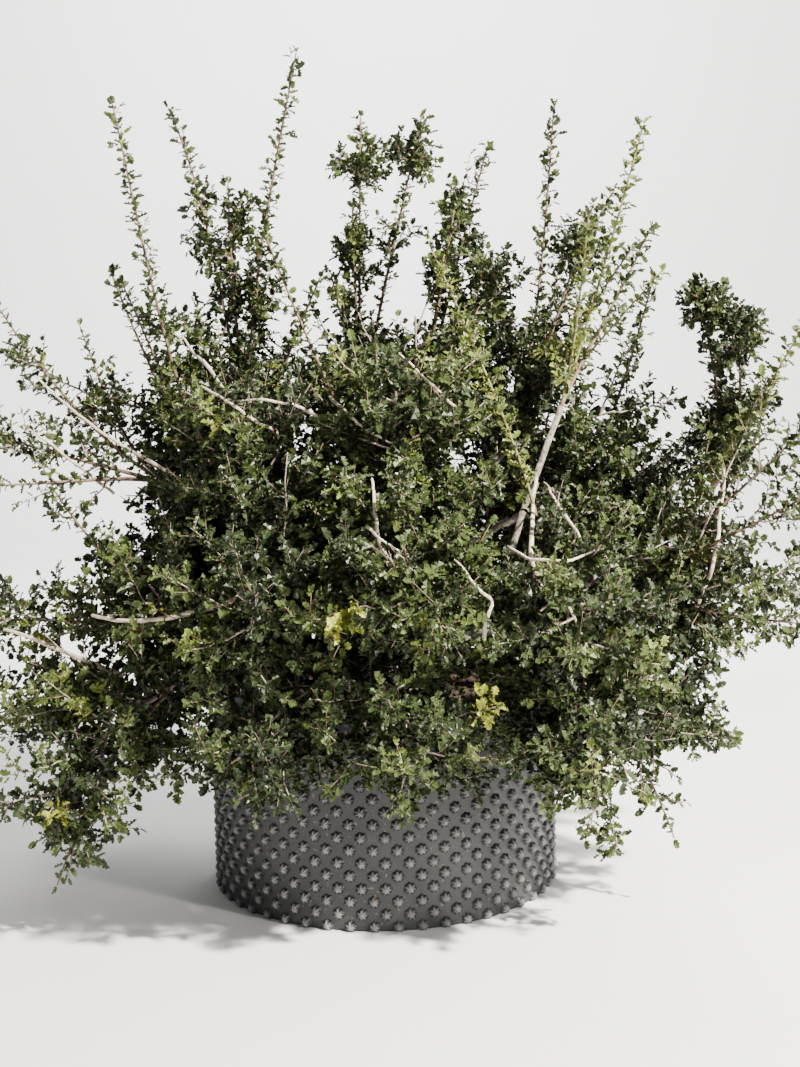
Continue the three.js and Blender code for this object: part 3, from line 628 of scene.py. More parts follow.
# Each mass's bough and leaders. A leader has a tip, a form, its foliage's girth and the rise of its
# bow, and where it needs them a swing to the right and tufts, each with its share of the leader's
# length, its radius and its weight.
MASSES = [
    # Top of the crown, with the upright whips above it from left to right
    ("top_left", "bough_left_back", [
        ((-240, 40, 800), "clump", 130, 0),
        ((-297, 60, 1135), "whip", 38, 30, 50, [(0.66, 58, 2), (0.46, 52, 1)]),
        ((-101, -15, 1196), "whip", 32, -10, 0, [(0.36, 50, 1)]),
        ((-209, 40, 1021), "whip", 48, 10, 0, [(0.8, 56, 2)]),
        ((-75, -30, 879), "whip", 44, 0)]),
    ("top_centre", "bough_centre_front", [
        ((55, -95, 820), "clump", 145, 0),
        ((169, 35, 1068), "whip", 36, 10, 0, [(0.7, 46, 1)]),
        ((112, -85, 965), "whip", 38, 0),
        ((120, -20, 1004), "whip", 42, 10, 0, [(0.85, 44, 2)]),
        ((186, -70, 909), "whip", 46, 0, 0, [(0.84, 52, 2)])]),
    ("top_back", "bough_centre_back", [
        ((-40, 130, 825), "clump", 140, 0),
        ((-15, 95, 1123), "whip", 38, 10, 0, [(0.8, 56, 2), (0.46, 42, 1)]),
        ((78, 130, 1129), "whip", 36, -20, 0, [(0.84, 52, 2), (0.62, 42, 1)]),
        ((-30, 80, 987), "whip", 42, 0, 0, [(0.8, 46, 2)])]),
    ("top_right", "bough_right_upright", [
        ((215, 60, 800), "clump", 135, 0),
        ((266, 50, 1126), "whip", 38, 10),
        ((370, 140, 1015), "whip", 40, 60, 0, [(0.74, 48, 1)]),
        ((324, 50, 985), "whip", 44, 0, 0, [(0.8, 46, 2)]),
        ((372, -10, 914), "whip", 40, 20)]),
    # Upper ring
    ("upper_left", "bough_left", [
        ((-315, 10, 700), "clump", 145, 10),
        ((-345, -125, 1110), "whip", 36, 30),
        ((-372, -30, 892), "whip", 46, -20),
        ((-352, -60, 875), "whip", 44, 10, 0, [(0.76, 48, 2)])]),
    ("upper_front_left", "bough_front_left", [
        ((-170, -220, 695), "clump", 160, 0)]),
    ("upper_front", "bough_front", [
        ((25, -265, 735), "clump", 160, 0),
        ((-141, -215, 924), "whip", 32, -40)]),
    ("upper_right_front", "bough_right_front", [
        ((357, -175, 1062), "whip", 34, -10, 0, [(0.16, 60, 2)]),
        ((382, -90, 935), "whip", 36, -20),
        ((276, -225, 935), "whip", 34, -10)]),
    ("upper_right", "bough_right_upright", [
        ((340, -40, 680), "clump", 160, 0),
        ((401, -80, 877), "whip", 36, 0)]),
    ("upper_back", "bough_centre_back", [
        ((10, 290, 690), "clump", 170, 0),
        ((-70, 280, 905), "whip", 40, 0, 0, [(0.75, 50, 1)])]),
    # Middle ring
    ("middle_left", "bough_left", [
        ((-350, -50, 440), "clump", 135, 10)]),
    ("middle_left_front", "bough_left_low", [
        ((-310, -260, 450), "clump", 150, 20),
        ((-430, -195, 597), "whip", 40, -60, 0, [(0.84, 38, 2)])]),
    ("middle_front_left", "bough_front_left", [
        ((-165, -375, 430), "clump", 170, 20)]),
    ("middle_front", "bough_front", [
        ((35, -400, 460), "clump", 170, 20),
        ((70, -478, 440), "spray", 62, 20)]),
    ("middle_front_right", "bough_front_fork", [
        ((250, -390, 400), "clump", 160, 10),
        ((66, -245, 912), "whip", 32, 0)]),
    ("middle_right_back", "bough_right_back", [
        ((430, 140, 450), "clump", 155, 20),
        ((395, 20, 395), "clump", 115, 10),
        ((409, 50, 868), "whip", 36, -10)]),
    ("middle_back_right", "bough_back_right", [
        ((250, 360, 560), "clump", 175, 0),
        ((300, 270, 915), "whip", 44, 0),
        ((115, 290, 980), "whip", 40, 10),
        ((290, 465, 460), "spray", 70, 0)]),
    ("middle_back", "bough_back_low", [
        ((0, 400, 490), "clump", 175, 0),
        ((10, 480, 560), "spray", 70, 0)]),
    ("middle_back_left", "bough_back_left", [
        ((-260, 350, 560), "clump", 175, 0),
        ((-235, 260, 950), "whip", 44, 10),
        ((-300, 455, 470), "spray", 70, 0)]),
    # Low ring, hanging over the rim
    ("low_front", "bough_front_low", [
        ((50, -385, 262), "clump", 150, 50)]),
    ("low_front_left", "bough_front_low", [
        ((-185, -350, 262), "clump", 145, 50)]),
    ("low_front_right", "bough_right_low", [
        ((262, -385, 240), "clump", 145, 50)]),
    ("low_right", "bough_right_low", [
        ((430, -200, 240), "clump", 145, 50),
        ((300, -290, 118), "spray", 78, 60),
        ((395, -190, 96), "spray", 62, 90)]),
    ("low_back_right", "bough_back_right", [
        ((330, 310, 250), "clump", 170, 50)]),
    ("low_back", "bough_back_low", [
        ((20, 400, 225), "clump", 170, 50),
        ((40, 472, 210), "spray", 70, 60)]),
    ("low_back_left", "bough_back_left", [
        ((-330, 300, 240), "clump", 170, 50)]),
    # Sprays that reach out of the crown on the left
    ("plume_left", "bough_left_spread", [
        ((-560, 25, 872), "spray", 50, -30),
        ((-445, 110, 822), "spray", 50, 0)]),
    ("reach_left", "bough_left_spread", [
        ((-585, -85, 685), "spray", 56, -10),
        ((-560, -160, 600), "spray", 52, -10)]),
    ("reach_left_low", "bough_left_low", [
        ((-595, -130, 415), "spray", 84, 10)]),
    ("droop_left", "bough_left_droop", [
        ((-440, -270, 190), "clump", 150, 40),
        ((-440, -235, 66), "spray", 92, 70),
        ((-575, -100, 262), "spray", 80, 40)]),
    # Tufts and sprays that reach out of the crown on the right
    ("tuft_tower", "bough_right", [
        ((440, -65, 835), "whip", 26, 90, 90, [(0.26, 80, 4), (0.68, 58, 3), (0.93, 46, 2)]),
        ((444, -65, 847), "whip", 26, 60, 0, [(0.9, 36, 2)])]),
    ("sprays_right", "bough_right_spread", [
        ((600, -145, 835), "whip", 34, -30),
        ((600, -175, 685), "spray", 48, -20),
        ((600, -265, 600), "spray", 52, -10)]),
    ("middle_right", "bough_right_spread", [
        ((455, -120, 420), "clump", 150, 10),
        ((655, -30, 440), "spray", 70, 10),
        ((600, -215, 395), "spray", 64, -20)]),
]
# The share of a leader that is bare at its foot, the lean of its side twigs in degrees, the steps
# between them and between their short twigs, how far they rise, and their leaves' size
FORMS = {
    "whip": {"bare": 0.15, "lean": 46, "steps": 12.0, "sub": math.inf, "rise": 0.10, "leaf": 0.98},
    "spray": {"bare": 0.2, "lean": 50, "steps": 13.5, "sub": 13.0, "rise": 0.05, "leaf": 0.98},
    "clump": {"bare": 0.0, "lean": 66, "steps": 8.6, "sub": 9.5, "rise": 0.10, "leaf": 1.0},
}
KIND = {form: number for number, form in enumerate(FORMS)}
# The foliage's girth along a leader, as a share of the girth given for it
RUNS = {
    "whip": lambda t: 1.7 - 1.1 * t,
    "spray": lambda t: np.sin(math.pi * (0.12 + 0.86 * t)) ** 0.5,
    "clump": lambda t: np.sqrt(np.maximum(0, 1 - (2 * t - 1) ** 2)),
}
STEM_THICK = {"clump": (3.6, 1.5), "spray": (3.4, 1.0), "whip": (3.4, 1.2)}
STEM_OFFSET = 4.1
STEM_SUNK = 3.0
STEM_STRAIGHT = 0.16
STEM_BEND = 0.55
LEAST_GIRTH = 11.0
SAMPLE_STEP = 9.0
BLOCK = 4000
GOLDEN_ANGLE = math.radians(137.508)
EYE = np.array([-4.0, -2200.0, 741.0])
# Places where the sky shows through the fringe: x and z on the plane y = 0, radius, greatest share
OPENINGS = [
    (-501, 818, 61, 0.9), (-432, 767, 70, 0.95), (-359, 787, 61, 0.9), (-361, 742, 43, 0.8),
    (-286, 953, 41, 0.85), (-511, 596, 70, 0.95), (-431, 609, 46, 0.7), (-427, 536, 52, 0.7),
    (-373, 535, 49, 0.8), (-521, 479, 49, 0.9), (-72, 810, 64, 0.93), (-5, 819, 58, 0.93),
    (-211, 808, 46, 0.75), (-229, 958, 41, 0.6), (-379, 149, 43, 0.6), (511, 216, 49, 0.6),
    (353, 139, 43, 0.7), (84, 953, 38, 0.7), (139, 976, 38, 0.6), (79, 817, 55, 0.85),
    (273, 803, 52, 0.75), (283, 730, 41, 0.7), (323, 774, 52, 0.9), (330, 677, 46, 0.75),
    (215, 814, 41, 0.6), (-546, 240, 49, 0.7), (-541, 160, 64, 0.9), (-549, 69, 61, 0.8),
    (-485, 17, 49, 0.8), (-408, 81, 43, 0.5), (-334, 87, 43, 0.8), (369, 116, 64, 0.85),
    (439, 137, 67, 0.95), (434, 53, 70, 0.95), (542, 519, 64, 0.7), (563, 610, 49, 0.6),
    (501, 413, 46, 0.4), (521, 309, 49, 0.6), (576, 223, 52, 0.8), (586, 456, 49, 0.6),
    (-127, 94, 49, 0.8), (22, 72, 64, 0.85), (114, 73, 49, 0.8),
]
OPENING_RISE = 1.6
NEIGHBOUR_YIELD = -0.12
POT_CLEARANCE = 5.0
LIMB_CLEARANCE = 1.5
LIMB_SKIP = 4
LONGEST_TWIG = 260.0
TRY_STEP = 10.0
LEAST_TWIG = 16.0
LEAST_WHIP_TWIG = 7.0
LAST_TWIG = 0.97
TUFT_TWIGS = 0.085
TUFT_FROM_TO = (-0.55, 0.5)
TUFT_LEAN = (20.0, 125.0)
TUFT_SUB = 5.0
TUFT_TWIG = (0.55, 1.0)
WHIP_TWIG = (26.0, 12.0)
TWIG_NODES = 7
TWIG_CROOK = 1.4
SUB_TWIG = (22.0, 58.0)
SUB_LEAN = (38.0, 62.0)
SUB_NODES = 3
SUB_CROOK = 0.8
SUB_LIFT = 0.22
LEADER_END = 0.985
LEADER_NODES = 33


def leader_girth(leader, t):
    """The foliage's girth at shares of a leader: its form's run, or a tuft's ball where it is wider."""
    girth = np.where(t < FORMS[leader["form"]]["bare"], 0, leader["girth"] * RUNS[leader["form"]](t))
    for share, radius, _ in leader["tufts"]:
        off = (t - share) * leader["length"] / radius
        girth = np.maximum(girth, radius * np.sqrt(np.maximum(0, 1 - off**2)))
    return np.maximum(LEAST_GIRTH, girth)


def grow_leaders():
    """Every leader's curve. It leaves its bough's tip along the bough and bends over to its own tip."""
    leaders = []
    carried = [bough for _, bough, _ in MASSES]
    for number, (_, bough, forks) in enumerate(MASSES):
        path = limbs[bough][0]
        direction = unit(path[-1] - path[-2])
        base = path[-1] + direction * GAP
        if carried.count(bough) > 1:
            base = base + STEM_OFFSET * square_to(direction, np.array(forks[0][0]) - base)
        for tip, form, girth, bow, *more in forks:
            swing, tufts = more[0] if more else 0, more[1] if len(more) > 1 else []
            reach = np.linalg.norm(np.array(tip) - base)
            near = base + direction * reach * STEM_STRAIGHT
            far = near + (np.array(tip) - near) * STEM_BEND + bow * UP + np.array([swing, 0, 0])
            curve = even_curve([base - STEM_SUNK * direction, near, far, tip])
            leaders.append({
                "mass": number, "form": form, "kind": KIND[form], "girth": girth, "tufts": tufts,
                "tip": tip, "path": curve, "length": path_length(curve),
            })
    return leaders


def in_blocks(points, measure):
    """A measure of many points, taken a few thousand at a time so that its tables stay small."""
    blocks = np.array_split(points, len(points) // BLOCK + 1)
    return np.concatenate([measure(block) for block in blocks])


def squares_to(points, others):
    """The square of each point's distance to each of the others, as a a + b b - 2 a b."""
    return (points**2).sum(1)[:, None] + (others**2).sum(1) - 2 * points @ others.T


leaders = grow_leaders()
samples = []
for leader in leaders:
    share = np.linspace(0, 1, math.ceil(leader["length"] / SAMPLE_STEP) + 1)
    mass = np.full(len(share), leader["mass"])
    samples.append((at_length(leader["path"], share), leader_girth(leader, share), mass))
sample_points, sample_girths, sample_mass = (np.concatenate(part) for part in zip(*samples))
sample_starts = np.searchsorted(sample_mass, np.arange(len(MASSES)))
limb_points = np.concatenate([path[::LIMB_SKIP] for path, _ in limbs.values()])
limb_radii = np.concatenate([radius[::LIMB_SKIP] for _, radius in limbs.values()])


def outness(points):
    """How far out each point lies round each mass: its distance to a leader's nearest sample over the
    girth there, from 0 on a leader to 1 at the edge of its foliage."""
    def least(block):
        ratio = np.maximum(squares_to(block, sample_points), 0) / sample_girths**2
        return np.sqrt(np.minimum.reduceat(ratio, sample_starts, axis=1))
    return in_blocks(points, least)


def in_space(points, mass, edge=1.0):
    """True for the points that lie in their own mass's space: inside its edge, with no other mass
    closer by more than the yield, and clear of the pot."""
    shape = points.shape[:-1]
    points = points.reshape(-1, 3)
    mass = np.broadcast_to(mass, shape).reshape(-1)
    each = outness(points)
    rows = np.arange(len(points))
    own = each[rows, mass]
    each[rows, mass] = np.inf
    out = np.hypot(points[:, 0], points[:, 1])
    above = points[:, 2] > POT_HEIGHT + POT_CLEARANCE
    beside = (out > POT_RADIUS + STUD_HEIGHT + POT_CLEARANCE) & (points[:, 2] > POT_CLEARANCE)
    clear = (own <= edge) & (each.min(axis=1) > own + NEIGHBOUR_YIELD) & (above | beside)
    return clear.reshape(shape)


def clear_of_limbs(points):
    """True for the points that lie outside the trunk and the boughs."""
    def clear(block):
        return (squares_to(block, limb_points) > (limb_radii + LIMB_CLEARANCE) ** 2).all(axis=1)
    return in_blocks(points, clear)


def stations(lengths, spacing, first, last):
    """Even steps along paths of given lengths: for each step its path's number, its rank on that
    path and its share of the path's length."""
    counts = np.maximum(0, np.round(lengths * (last - first) / spacing)).astype(int)
    owner = np.repeat(np.arange(len(lengths)), counts)
    rank = np.arange(counts.sum()) - np.repeat(np.cumsum(counts) - counts, counts)
    return owner, rank, first + (rank + 0.5) / counts[owner] * (last - first)


def on_paths(paths, owner, share):
    """Points and directions at shares of paths whose nodes are evenly spaced."""
    place = share * (paths.shape[1] - 1)
    low = np.minimum(place.astype(int), paths.shape[1] - 2)
    before, after = paths[owner, low], paths[owner, low + 1]
    return between(before, after, (place - low)[:, None]), unit(after - before)


def side_aims(forward, turns, lean):
    """Directions that lean off forward ones by an angle, each turned round by its number of golden
    angles from the upper side."""
    side = turned(square_to(forward, np.broadcast_to(UP, forward.shape)), forward, GOLDEN_ANGLE * turns)
    return unit(forward * np.cos(lean)[:, None] + side * np.sin(lean)[:, None])


def shoot_paths(starts, aims, lengths, rise, nodes, crook):
    """Shoots that start straight and rise by the square of the share of their length. Their nodes
    are set off to alternate sides, which gives the crooked growth of oak twigs."""
    share = np.linspace(0, 1, nodes)[None, :, None]
    reach = lengths[:, None, None]
    side = square_to(aims, rng.normal(size=aims.shape))[:, None]
    zigzag = crook * ((-1.0) ** np.arange(nodes))[None, :, None] * np.minimum(1, share * 4) * side
    return starts[:, None] + reach * (share * aims[:, None] + rise[:, None, None] * share**2 * UP) + zigzag


def beside_sight_line(points, spot):
    """Each point's distance from the eye along the line through a spot on the plane y = 0, and its
    distance to that line. Spots are given as x and z."""
    line = unit(np.array([spot[0], 0.0, spot[1]]) - EYE)
    depth = (points - EYE) @ line
    return depth, np.linalg.norm(points - EYE - depth[:, None] * line, axis=1)


def open_share(points):
    """The share of twigs left out at each point, which rises smoothly to the middle of an opening."""
    share = np.zeros(len(points))
    for x, z, radius, most in OPENINGS:
        _, beside = beside_sight_line(points, (x, z))
        share = np.maximum(share, most * np.clip(OPENING_RISE * (1 - beside / radius), 0, 1))
    return share


def of_kind(key, kinds):
    """The value that each twig's form has under a key."""
    return np.array([form[key] for form in FORMS.values()])[kinds]


def grown_side_twigs():
    """The side twigs of all leaders. Each runs until it would leave its mass's space."""
    grown = []
    for number, leader in enumerate(leaders):
        form = FORMS[leader["form"]]
        _, _, share = stations(np.array([leader["length"]]), form["steps"], form["bare"], LAST_TWIG)
        ball = [0 * share]
        for at, radius, weight in leader["tufts"]:
            half = radius / leader["length"]
            low, high = (at + part * half for part in TUFT_FROM_TO)
            extra = rng.uniform(low, high, int(radius * weight * TUFT_TWIGS))
            share = np.concatenate([share, np.clip(extra, 0.02, LEADER_END)])
            ball.append(np.full(len(extra), radius))
        ball = np.concatenate(ball)
        place = at_length(leader["path"], share)
        forward = unit(at_length(leader["path"], np.minimum(share + 0.01, 1)) - place + 1e-6)
        even = form["lean"] * (1.15 - 0.4 * share) * rng.uniform(0.8, 1.15, len(share))
        lean = np.radians(np.where(ball > 0, rng.uniform(*TUFT_LEAN, len(share)), even))
        aim = side_aims(forward, np.arange(len(share)) + number, lean)
        owner = [np.full(len(share), value) for value in (leader["mass"], leader["kind"], number)]
        grown.append((place, aim, *owner, share, ball))
    starts, aims, mass, kind, leader_of, share, ball = (np.concatenate(part) for part in zip(*grown))
    tufted = ball > 0
    on_whip = kind == KIND["whip"]
    rise = of_kind("rise", kind) * rng.uniform(0.2, 2.2, len(kind))
    tries = int(LONGEST_TWIG / TRY_STEP)
    trial = shoot_paths(starts, aims, np.full(len(starts), LONGEST_TWIG), 0 * rise, tries + 1, 0.0)
    inside_space = in_space(trial[:, 1:], mass[:, None])
    run = np.where(inside_space.all(1), tries, np.argmin(inside_space, axis=1)) * TRY_STEP
    lengths = run * rng.uniform(0.78, 1.04, len(run))
    in_tuft = rng.uniform(*TUFT_TWIG, len(run)) * ball
    short = np.where(tufted, in_tuft, between(*WHIP_TWIG, share))
    lengths = np.minimum(lengths, np.where(tufted | on_whip, short, LONGEST_TWIG))
    lengths[rng.uniform(size=len(lengths)) < open_share(starts + 0.5 * aims * lengths[:, None])] = 0
    keep = lengths > np.where(on_whip, LEAST_WHIP_TWIG, LEAST_TWIG)
    paths = shoot_paths(starts, aims, lengths, rise, TWIG_NODES, TWIG_CROOK)
    return {"paths": paths[keep], "lengths": lengths[keep], "mass": mass[keep], "kind": kind[keep],
            "leader": leader_of[keep], "tufted": tufted[keep]}


def grown_sub_twigs(twigs):
    """The short twigs on the side twigs of clumps, sprays and tufts, shorter towards each one's tip.
    One that would leave its mass's space is cut shorter twice before it is left out."""
    spacing = np.where(twigs["tufted"], TUFT_SUB, of_kind("sub", twigs["kind"]))
    owner, rank, share = stations(twigs["lengths"] / spacing, 1.0, 0.16, 0.98)
    starts, forward = on_paths(twigs["paths"], owner, share)
    lean = np.radians(rng.uniform(*SUB_LEAN, len(owner)))
    aims = unit(side_aims(forward, rank + owner, lean) + SUB_LIFT * UP)
    lengths = rng.uniform(*SUB_TWIG, len(owner)) * (1.1 - 0.55 * share)
    lengths *= np.where(twigs["tufted"][owner], 0.5, 1)
    mass = twigs["mass"][owner]
    tips = starts + aims * lengths[:, None]
    for _ in range(2):
        lengths = np.where(in_space(tips, mass), lengths, lengths * 0.55)
        tips = starts + aims * lengths[:, None]
    keep = in_space(tips, mass) & clear_of_limbs(tips)
    keep &= rng.uniform(size=len(tips)) > open_share(tips)
    rise = rng.uniform(-0.05, 0.3, len(owner))
    paths = shoot_paths(starts, aims, lengths, rise, SUB_NODES, SUB_CROOK)
    return {"paths": paths[keep], "lengths": lengths[keep], "mass": mass[keep],
            "kind": twigs["kind"][owner][keep], "twig": owner[keep]}


side_twigs = grown_side_twigs()
sub_twigs = grown_sub_twigs(side_twigs)
leader_shares = np.linspace(0, LEADER_END, LEADER_NODES)
leader_paths = np.stack([at_length(leader["path"], leader_shares) for leader in leaders])
leader_thick = np.array([STEM_THICK[leader["form"]] for leader in leaders])
stem_radii = between(leader_thick[:, :1], leader_thick[:, 1:], np.linspace(0, 1, LEADER_NODES))
# The tips of the leaders that are this year's growth, yellow-green all along
FRESH_TIPS = {(357, -175, 1062), (276, -225, 935), (66, -245, 912), (401, -80, 877), (600, -145, 835)}
fresh_leader = np.array([leader["tip"] in FRESH_TIPS for leader in leaders])
is_clump = np.array([leader["form"] == "clump" for leader in leaders])


def tapered(lengths, thick, thin, nodes, full):
    """Radii along twigs that thin from foot to tip. The foot is thicker on longer twigs by the square
    root of the length's share of a full one."""
    foot = thick * np.sqrt(np.minimum(1, lengths / full))[:, None]
    return np.maximum(between(foot, thin, np.linspace(0, 1, nodes)), thin)


def bark_of_twigs(name, dark, pale, roughness):
    paint = Paint(name)
    spots = paint.noise(260, 3, 0.6)
    colour = paint.ramp(spots, (0.35, dark), (0.65, pale))
    return paint.finish(Base_Color=colour, Roughness=roughness, Normal=paint.bump(spots, 0.0006, 0.4))


mass_names = [name for name, _, _ in MASSES]
stem_finish = bark_of_twigs("stem_bark", (0.16, 0.115, 0.085), (0.42, 0.34, 0.28), 0.8)
twig_finish = bark_of_twigs("twig_bark", (0.085, 0.050, 0.032), (0.20, 0.122, 0.078), 0.65)
shoot_finish = bark_of_twigs("shoot_bark", (0.11, 0.095, 0.032), (0.23, 0.20, 0.072), 0.55)

side_fresh = fresh_leader[side_twigs["leader"]]
side_young = (side_twigs["tufted"] | (side_twigs["kind"] == KIND["whip"])) & ~side_fresh
side_radii = tapered(side_twigs["lengths"], 1.9, 0.7, TWIG_NODES, 120.0)
# The pieces of old wood, young wood and new shoots: their leaders, their side twigs, the share of
# the radii that each kind keeps, their finish and their slot
WOOD = [
    ("stems", is_clump, ~side_young & ~side_fresh, 1.0, 1.0, stem_finish, "bark"),
    ("young_stems", ~is_clump & ~fresh_leader, side_young, 1.0, 0.8, twig_finish, "bark"),
    ("new_shoots", fresh_leader, side_fresh, 0.75, 0.8, shoot_finish, "foliage"),
]
for name, with_leaders, with_twigs, leader_slim, twig_slim, finish, slot in WOOD:
    make_piece(name, *merged([
        tubes(leader_paths[with_leaders], leader_slim * stem_radii[with_leaders], 6),
        tubes(side_twigs["paths"][with_twigs], twig_slim * side_radii[with_twigs], 4),
    ]), finish, slot, mass_names)
sub_radii = tapered(sub_twigs["lengths"], 1.0, 0.5, SUB_NODES, 50.0)
make_piece("twigs", *tubes(sub_twigs["paths"], sub_radii, 3), twig_finish, "bark", mass_names)


# THE BARE WOOD
# A few old bare limbs, pale and crooked, lie on the face of the foliage. They come out of the crown,
# cross its front for a hand's width and go back in.

# Radii at foot and tip, and knots as x and z on the plane y = 0 and the depth behind the twigs
BARE_LIMBS = [
    (3.4, 1.8, [(-173, 434, 60), (-232, 405, -4), (-309, 389, -6), (-379, 386, 4), (-422, 395, 24)]),
    (3.2, 1.7, [(-382, 305, 60), (-437, 330, -4), (-506, 360, -6), (-551, 380, 6)]),
    (2.6, 1.2, [(-287, 594, 50), (-330, 618, -2), (-400, 663, -4), (-467, 719, 6), (-489, 745, 24)]),
    (2.3, 1.1, [(-383, 573, 50), (-420, 603, -2), (-470, 644, -4), (-509, 676, 12)]),
    (2.5, 1.2, [(-138, 652, 40), (-172, 673, -2), (-212, 702, -4), (-254, 726, 24)]),
    (2.4, 1.2, [(-223, 723, 40), (-242, 754, -2), (-261, 775, -4), (-280, 798, 24)]),
    (3.1, 1.7, [(463, 390, 50), (489, 449, -4), (498, 517, -6), (503, 593, 24)]),
    (2.3, 1.2, [(150, 347, 50), (155, 379, -2), (166, 404, -4), (137, 430, -4), (108, 466, 30)]),
    (3.2, 1.9, [(245, 404, 60), (219, 464, -4), (223, 528, -6), (231, 601, 24)]),
    (2.2, 1.0, [(187, 482, 30), (219, 464, -4), (266, 461, -4), (319, 476, 24)]),
    (2.1, 1.0, [(293, 486, 40), (272, 530, -2), (258, 548, -4), (241, 578, 26)]),
    (2.6, 1.5, [(14, 459, 50), (-4, 507, -4), (-6, 539, -6), (-9, 588, 26)]),
    (1.8, 0.9, [(-20, 516, 20), (0, 498, -4), (21, 488, 6), (38, 473, 26)]),
    (2.3, 1.1, [(-73, 714, 30), (-36, 676, -2), (-2, 649, -4), (38, 625, 26)]),
    (2.1, 1.0, [(114, 687, 30), (83, 720, -2), (57, 743, -4), (32, 769, 26)]),
    (2.2, 1.0, [(-80, 677, 30), (-125, 698, -2), (-165, 707, -4), (-209, 702, 26)]),
]
BARE_NODES = 25
BARE_BEND = 1.8
BARE_THICK = 1.15
BARE_KNOBS = 0.14
# How close a twig's tip is to a knot's sight line, and the percentile of depth taken as foremost
FACE_REACH = 26.0
FACE_RANK = 10


def on_the_face(knots):
    """A limb's knots on their sight lines, each at the depth of the foremost twigs near its line,
    drawn halfway to the middle one of these depths so that the limb runs evenly."""
    knots = np.array(knots, float)
    fronts = []
    for x, z, _ in knots:
        depth, beside = beside_sight_line(sub_twigs["paths"][:, -1], (x, z))
        fronts.append(np.percentile(depth[beside < FACE_REACH], FACE_RANK))
    fronts = (np.array(fronts) + np.median(fronts)) / 2
    return EYE + (fronts + knots[:, 2])[:, None] * unit(knots * [1, 0, 0] + knots[:, 1:2] * UP - EYE)


bare_paths, bare_radii = [], []
for foot, tip, knots in BARE_LIMBS:
    path = at_length(on_the_face(knots), np.linspace(0, 1, BARE_NODES))
    path[1:-1] = (path[:-2] + path[1:-1] + path[2:]) / 3
    bend = np.stack([waves(path, 60, 30 + k, 3) for k in range(3)], axis=1)
    bare_paths.append(path + BARE_BEND * bend)
    knobs = 1 + BARE_KNOBS * waves(path, 16, 8, 2)
    bare_radii.append(BARE_THICK * np.linspace(foot, tip, BARE_NODES) * knobs)
bare_points, bare_faces = tubes(np.stack(bare_paths), np.stack(bare_radii), 8)
bare_finish = bark_of_twigs("bare_bark", (0.40, 0.32, 0.23), (0.70, 0.60, 0.47), 0.8)
make_piece("bare_limbs", bare_points, bare_faces, bare_finish, "bark", mass_names)


# THE LEAVES
# Small stiff evergreen leaves with a few spiny teeth on each side, folded a little along the rib.
# They sit all round the twigs on very short stalks, glossy dark green, yellow-green when new.

LEAF_LENGTH = 14.0
LEAF_WIDTH = 0.70
LEAF_FOLD = 0.36
LEAF_CURL = 0.07
LEAF_DROOP = 0.16
# Each tooth or hollow of an edge: its share of the leaf's length, and of its half width
LEAF_EDGE = ((0.18, 0.92), (0.34, 0.64), (0.52, 1.08), (0.66, 0.66), (0.80, 0.82))
LEAF_SPREAD = 0.17
LEAF_BREADTHS = (0.82, 1.18)
LEAF_SHADES = (0.72, 1.35)
LEAF_STEP = 5.3
SHOOT_LEAF_STEP = 4.6
LEAF_LEAN = (42.0, 72.0)
TIP_LEAN = (8.0, 34.0)
GOLDEN_SHARE = 0.618
STALK = 1.5
# How much a leaf faces up, away from the crown's heart, and anyhow
FACING = (0.75, 0.55, 0.5)
CROWN_HEART = np.array([0.0, 0.0, 480.0])
BARE_VIEW = 7.0
LEAF_EDGE_OF_SPACE = 1.06
NEW_SHARE = 0.012
NEW_TINT = 0.95
COMMON_TINT = 0.88
TOWER_TINT = 0.6
FRESH_TINTS = (0.72, 0.97)
TWIG_TINT_SPREAD = 0.13
WHIP_TINT = 0.6
FRESH_TINT = 0.93
# Leaves deep inside a clump are shade leaves, larger than those at its edge, and darker: partly their own
# darker green, partly painted shade for the crown's shadowed interior
INNER_TO_OUTER = (0.40, 0.80)
INNER_SIZE = (1.25, 0.96)
INNER_TINT_AND_SHADE = (0.45, 1.0)
# A few sprays at the front have turned gold: x and z on the plane y = 0, and radius
GOLD_SPRAYS = ((-56, 371, 20.0), (-44, 396, 10.0), (160, 247, 24.0), (-489, 103, 14.0))
GOLD_DEPTH = 60.0
GOLD_TINT = 2.0
# Each tint's name, the share of all leaves below its upper end, its colour and its roughness
TINTS = [
    ("leaves_darkest", 0.17, (0.015, 0.023, 0.006), 0.36),
    ("leaves_dark", 0.34, (0.019, 0.030, 0.007), 0.36),
    ("leaves_deep", 0.51, (0.023, 0.035, 0.008), 0.37),
    ("leaves_green", 0.68, (0.030, 0.045, 0.009), 0.38),
    ("leaves_fair", 0.84, (0.037, 0.054, 0.011), 0.39),
    ("leaves_bright", 0.965, (0.052, 0.071, 0.014), 0.40),
    ("leaves_new", 0.999, (0.130, 0.160, 0.028), 0.43),
    ("leaves_gold", 1.0, (0.245, 0.265, 0.030), 0.48),
]


def leaf_shape():
    """A unit leaf: a rib of three points and two toothed edges. Height grows with the distance from
    the rib, which folds the leaf, and falls with the square of the distance along it, which bends it.
    The teeth stand up from that and the hollows between them lie lower."""
    edge = np.array(LEAF_EDGE)
    right = np.stack([edge[:, 0], edge[:, 1] * LEAF_WIDTH / 2, 0 * edge[:, 0]], axis=1)
    left = right * [1, -1, 1]
    rib = np.array([(0.0, 0.0, 0.0), (0.5, 0.0, 0.0), (1.0, 0.0, 0.0)])
    points = np.concatenate([rib, right, left])
    points[:, 2] = LEAF_FOLD * np.abs(points[:, 1]) - LEAF_DROOP * points[:, 0] ** 2
    curl = LEAF_CURL * (-1.0) ** np.arange(len(edge))
    points[len(rib):, 2] += np.concatenate([curl, curl])
    return points


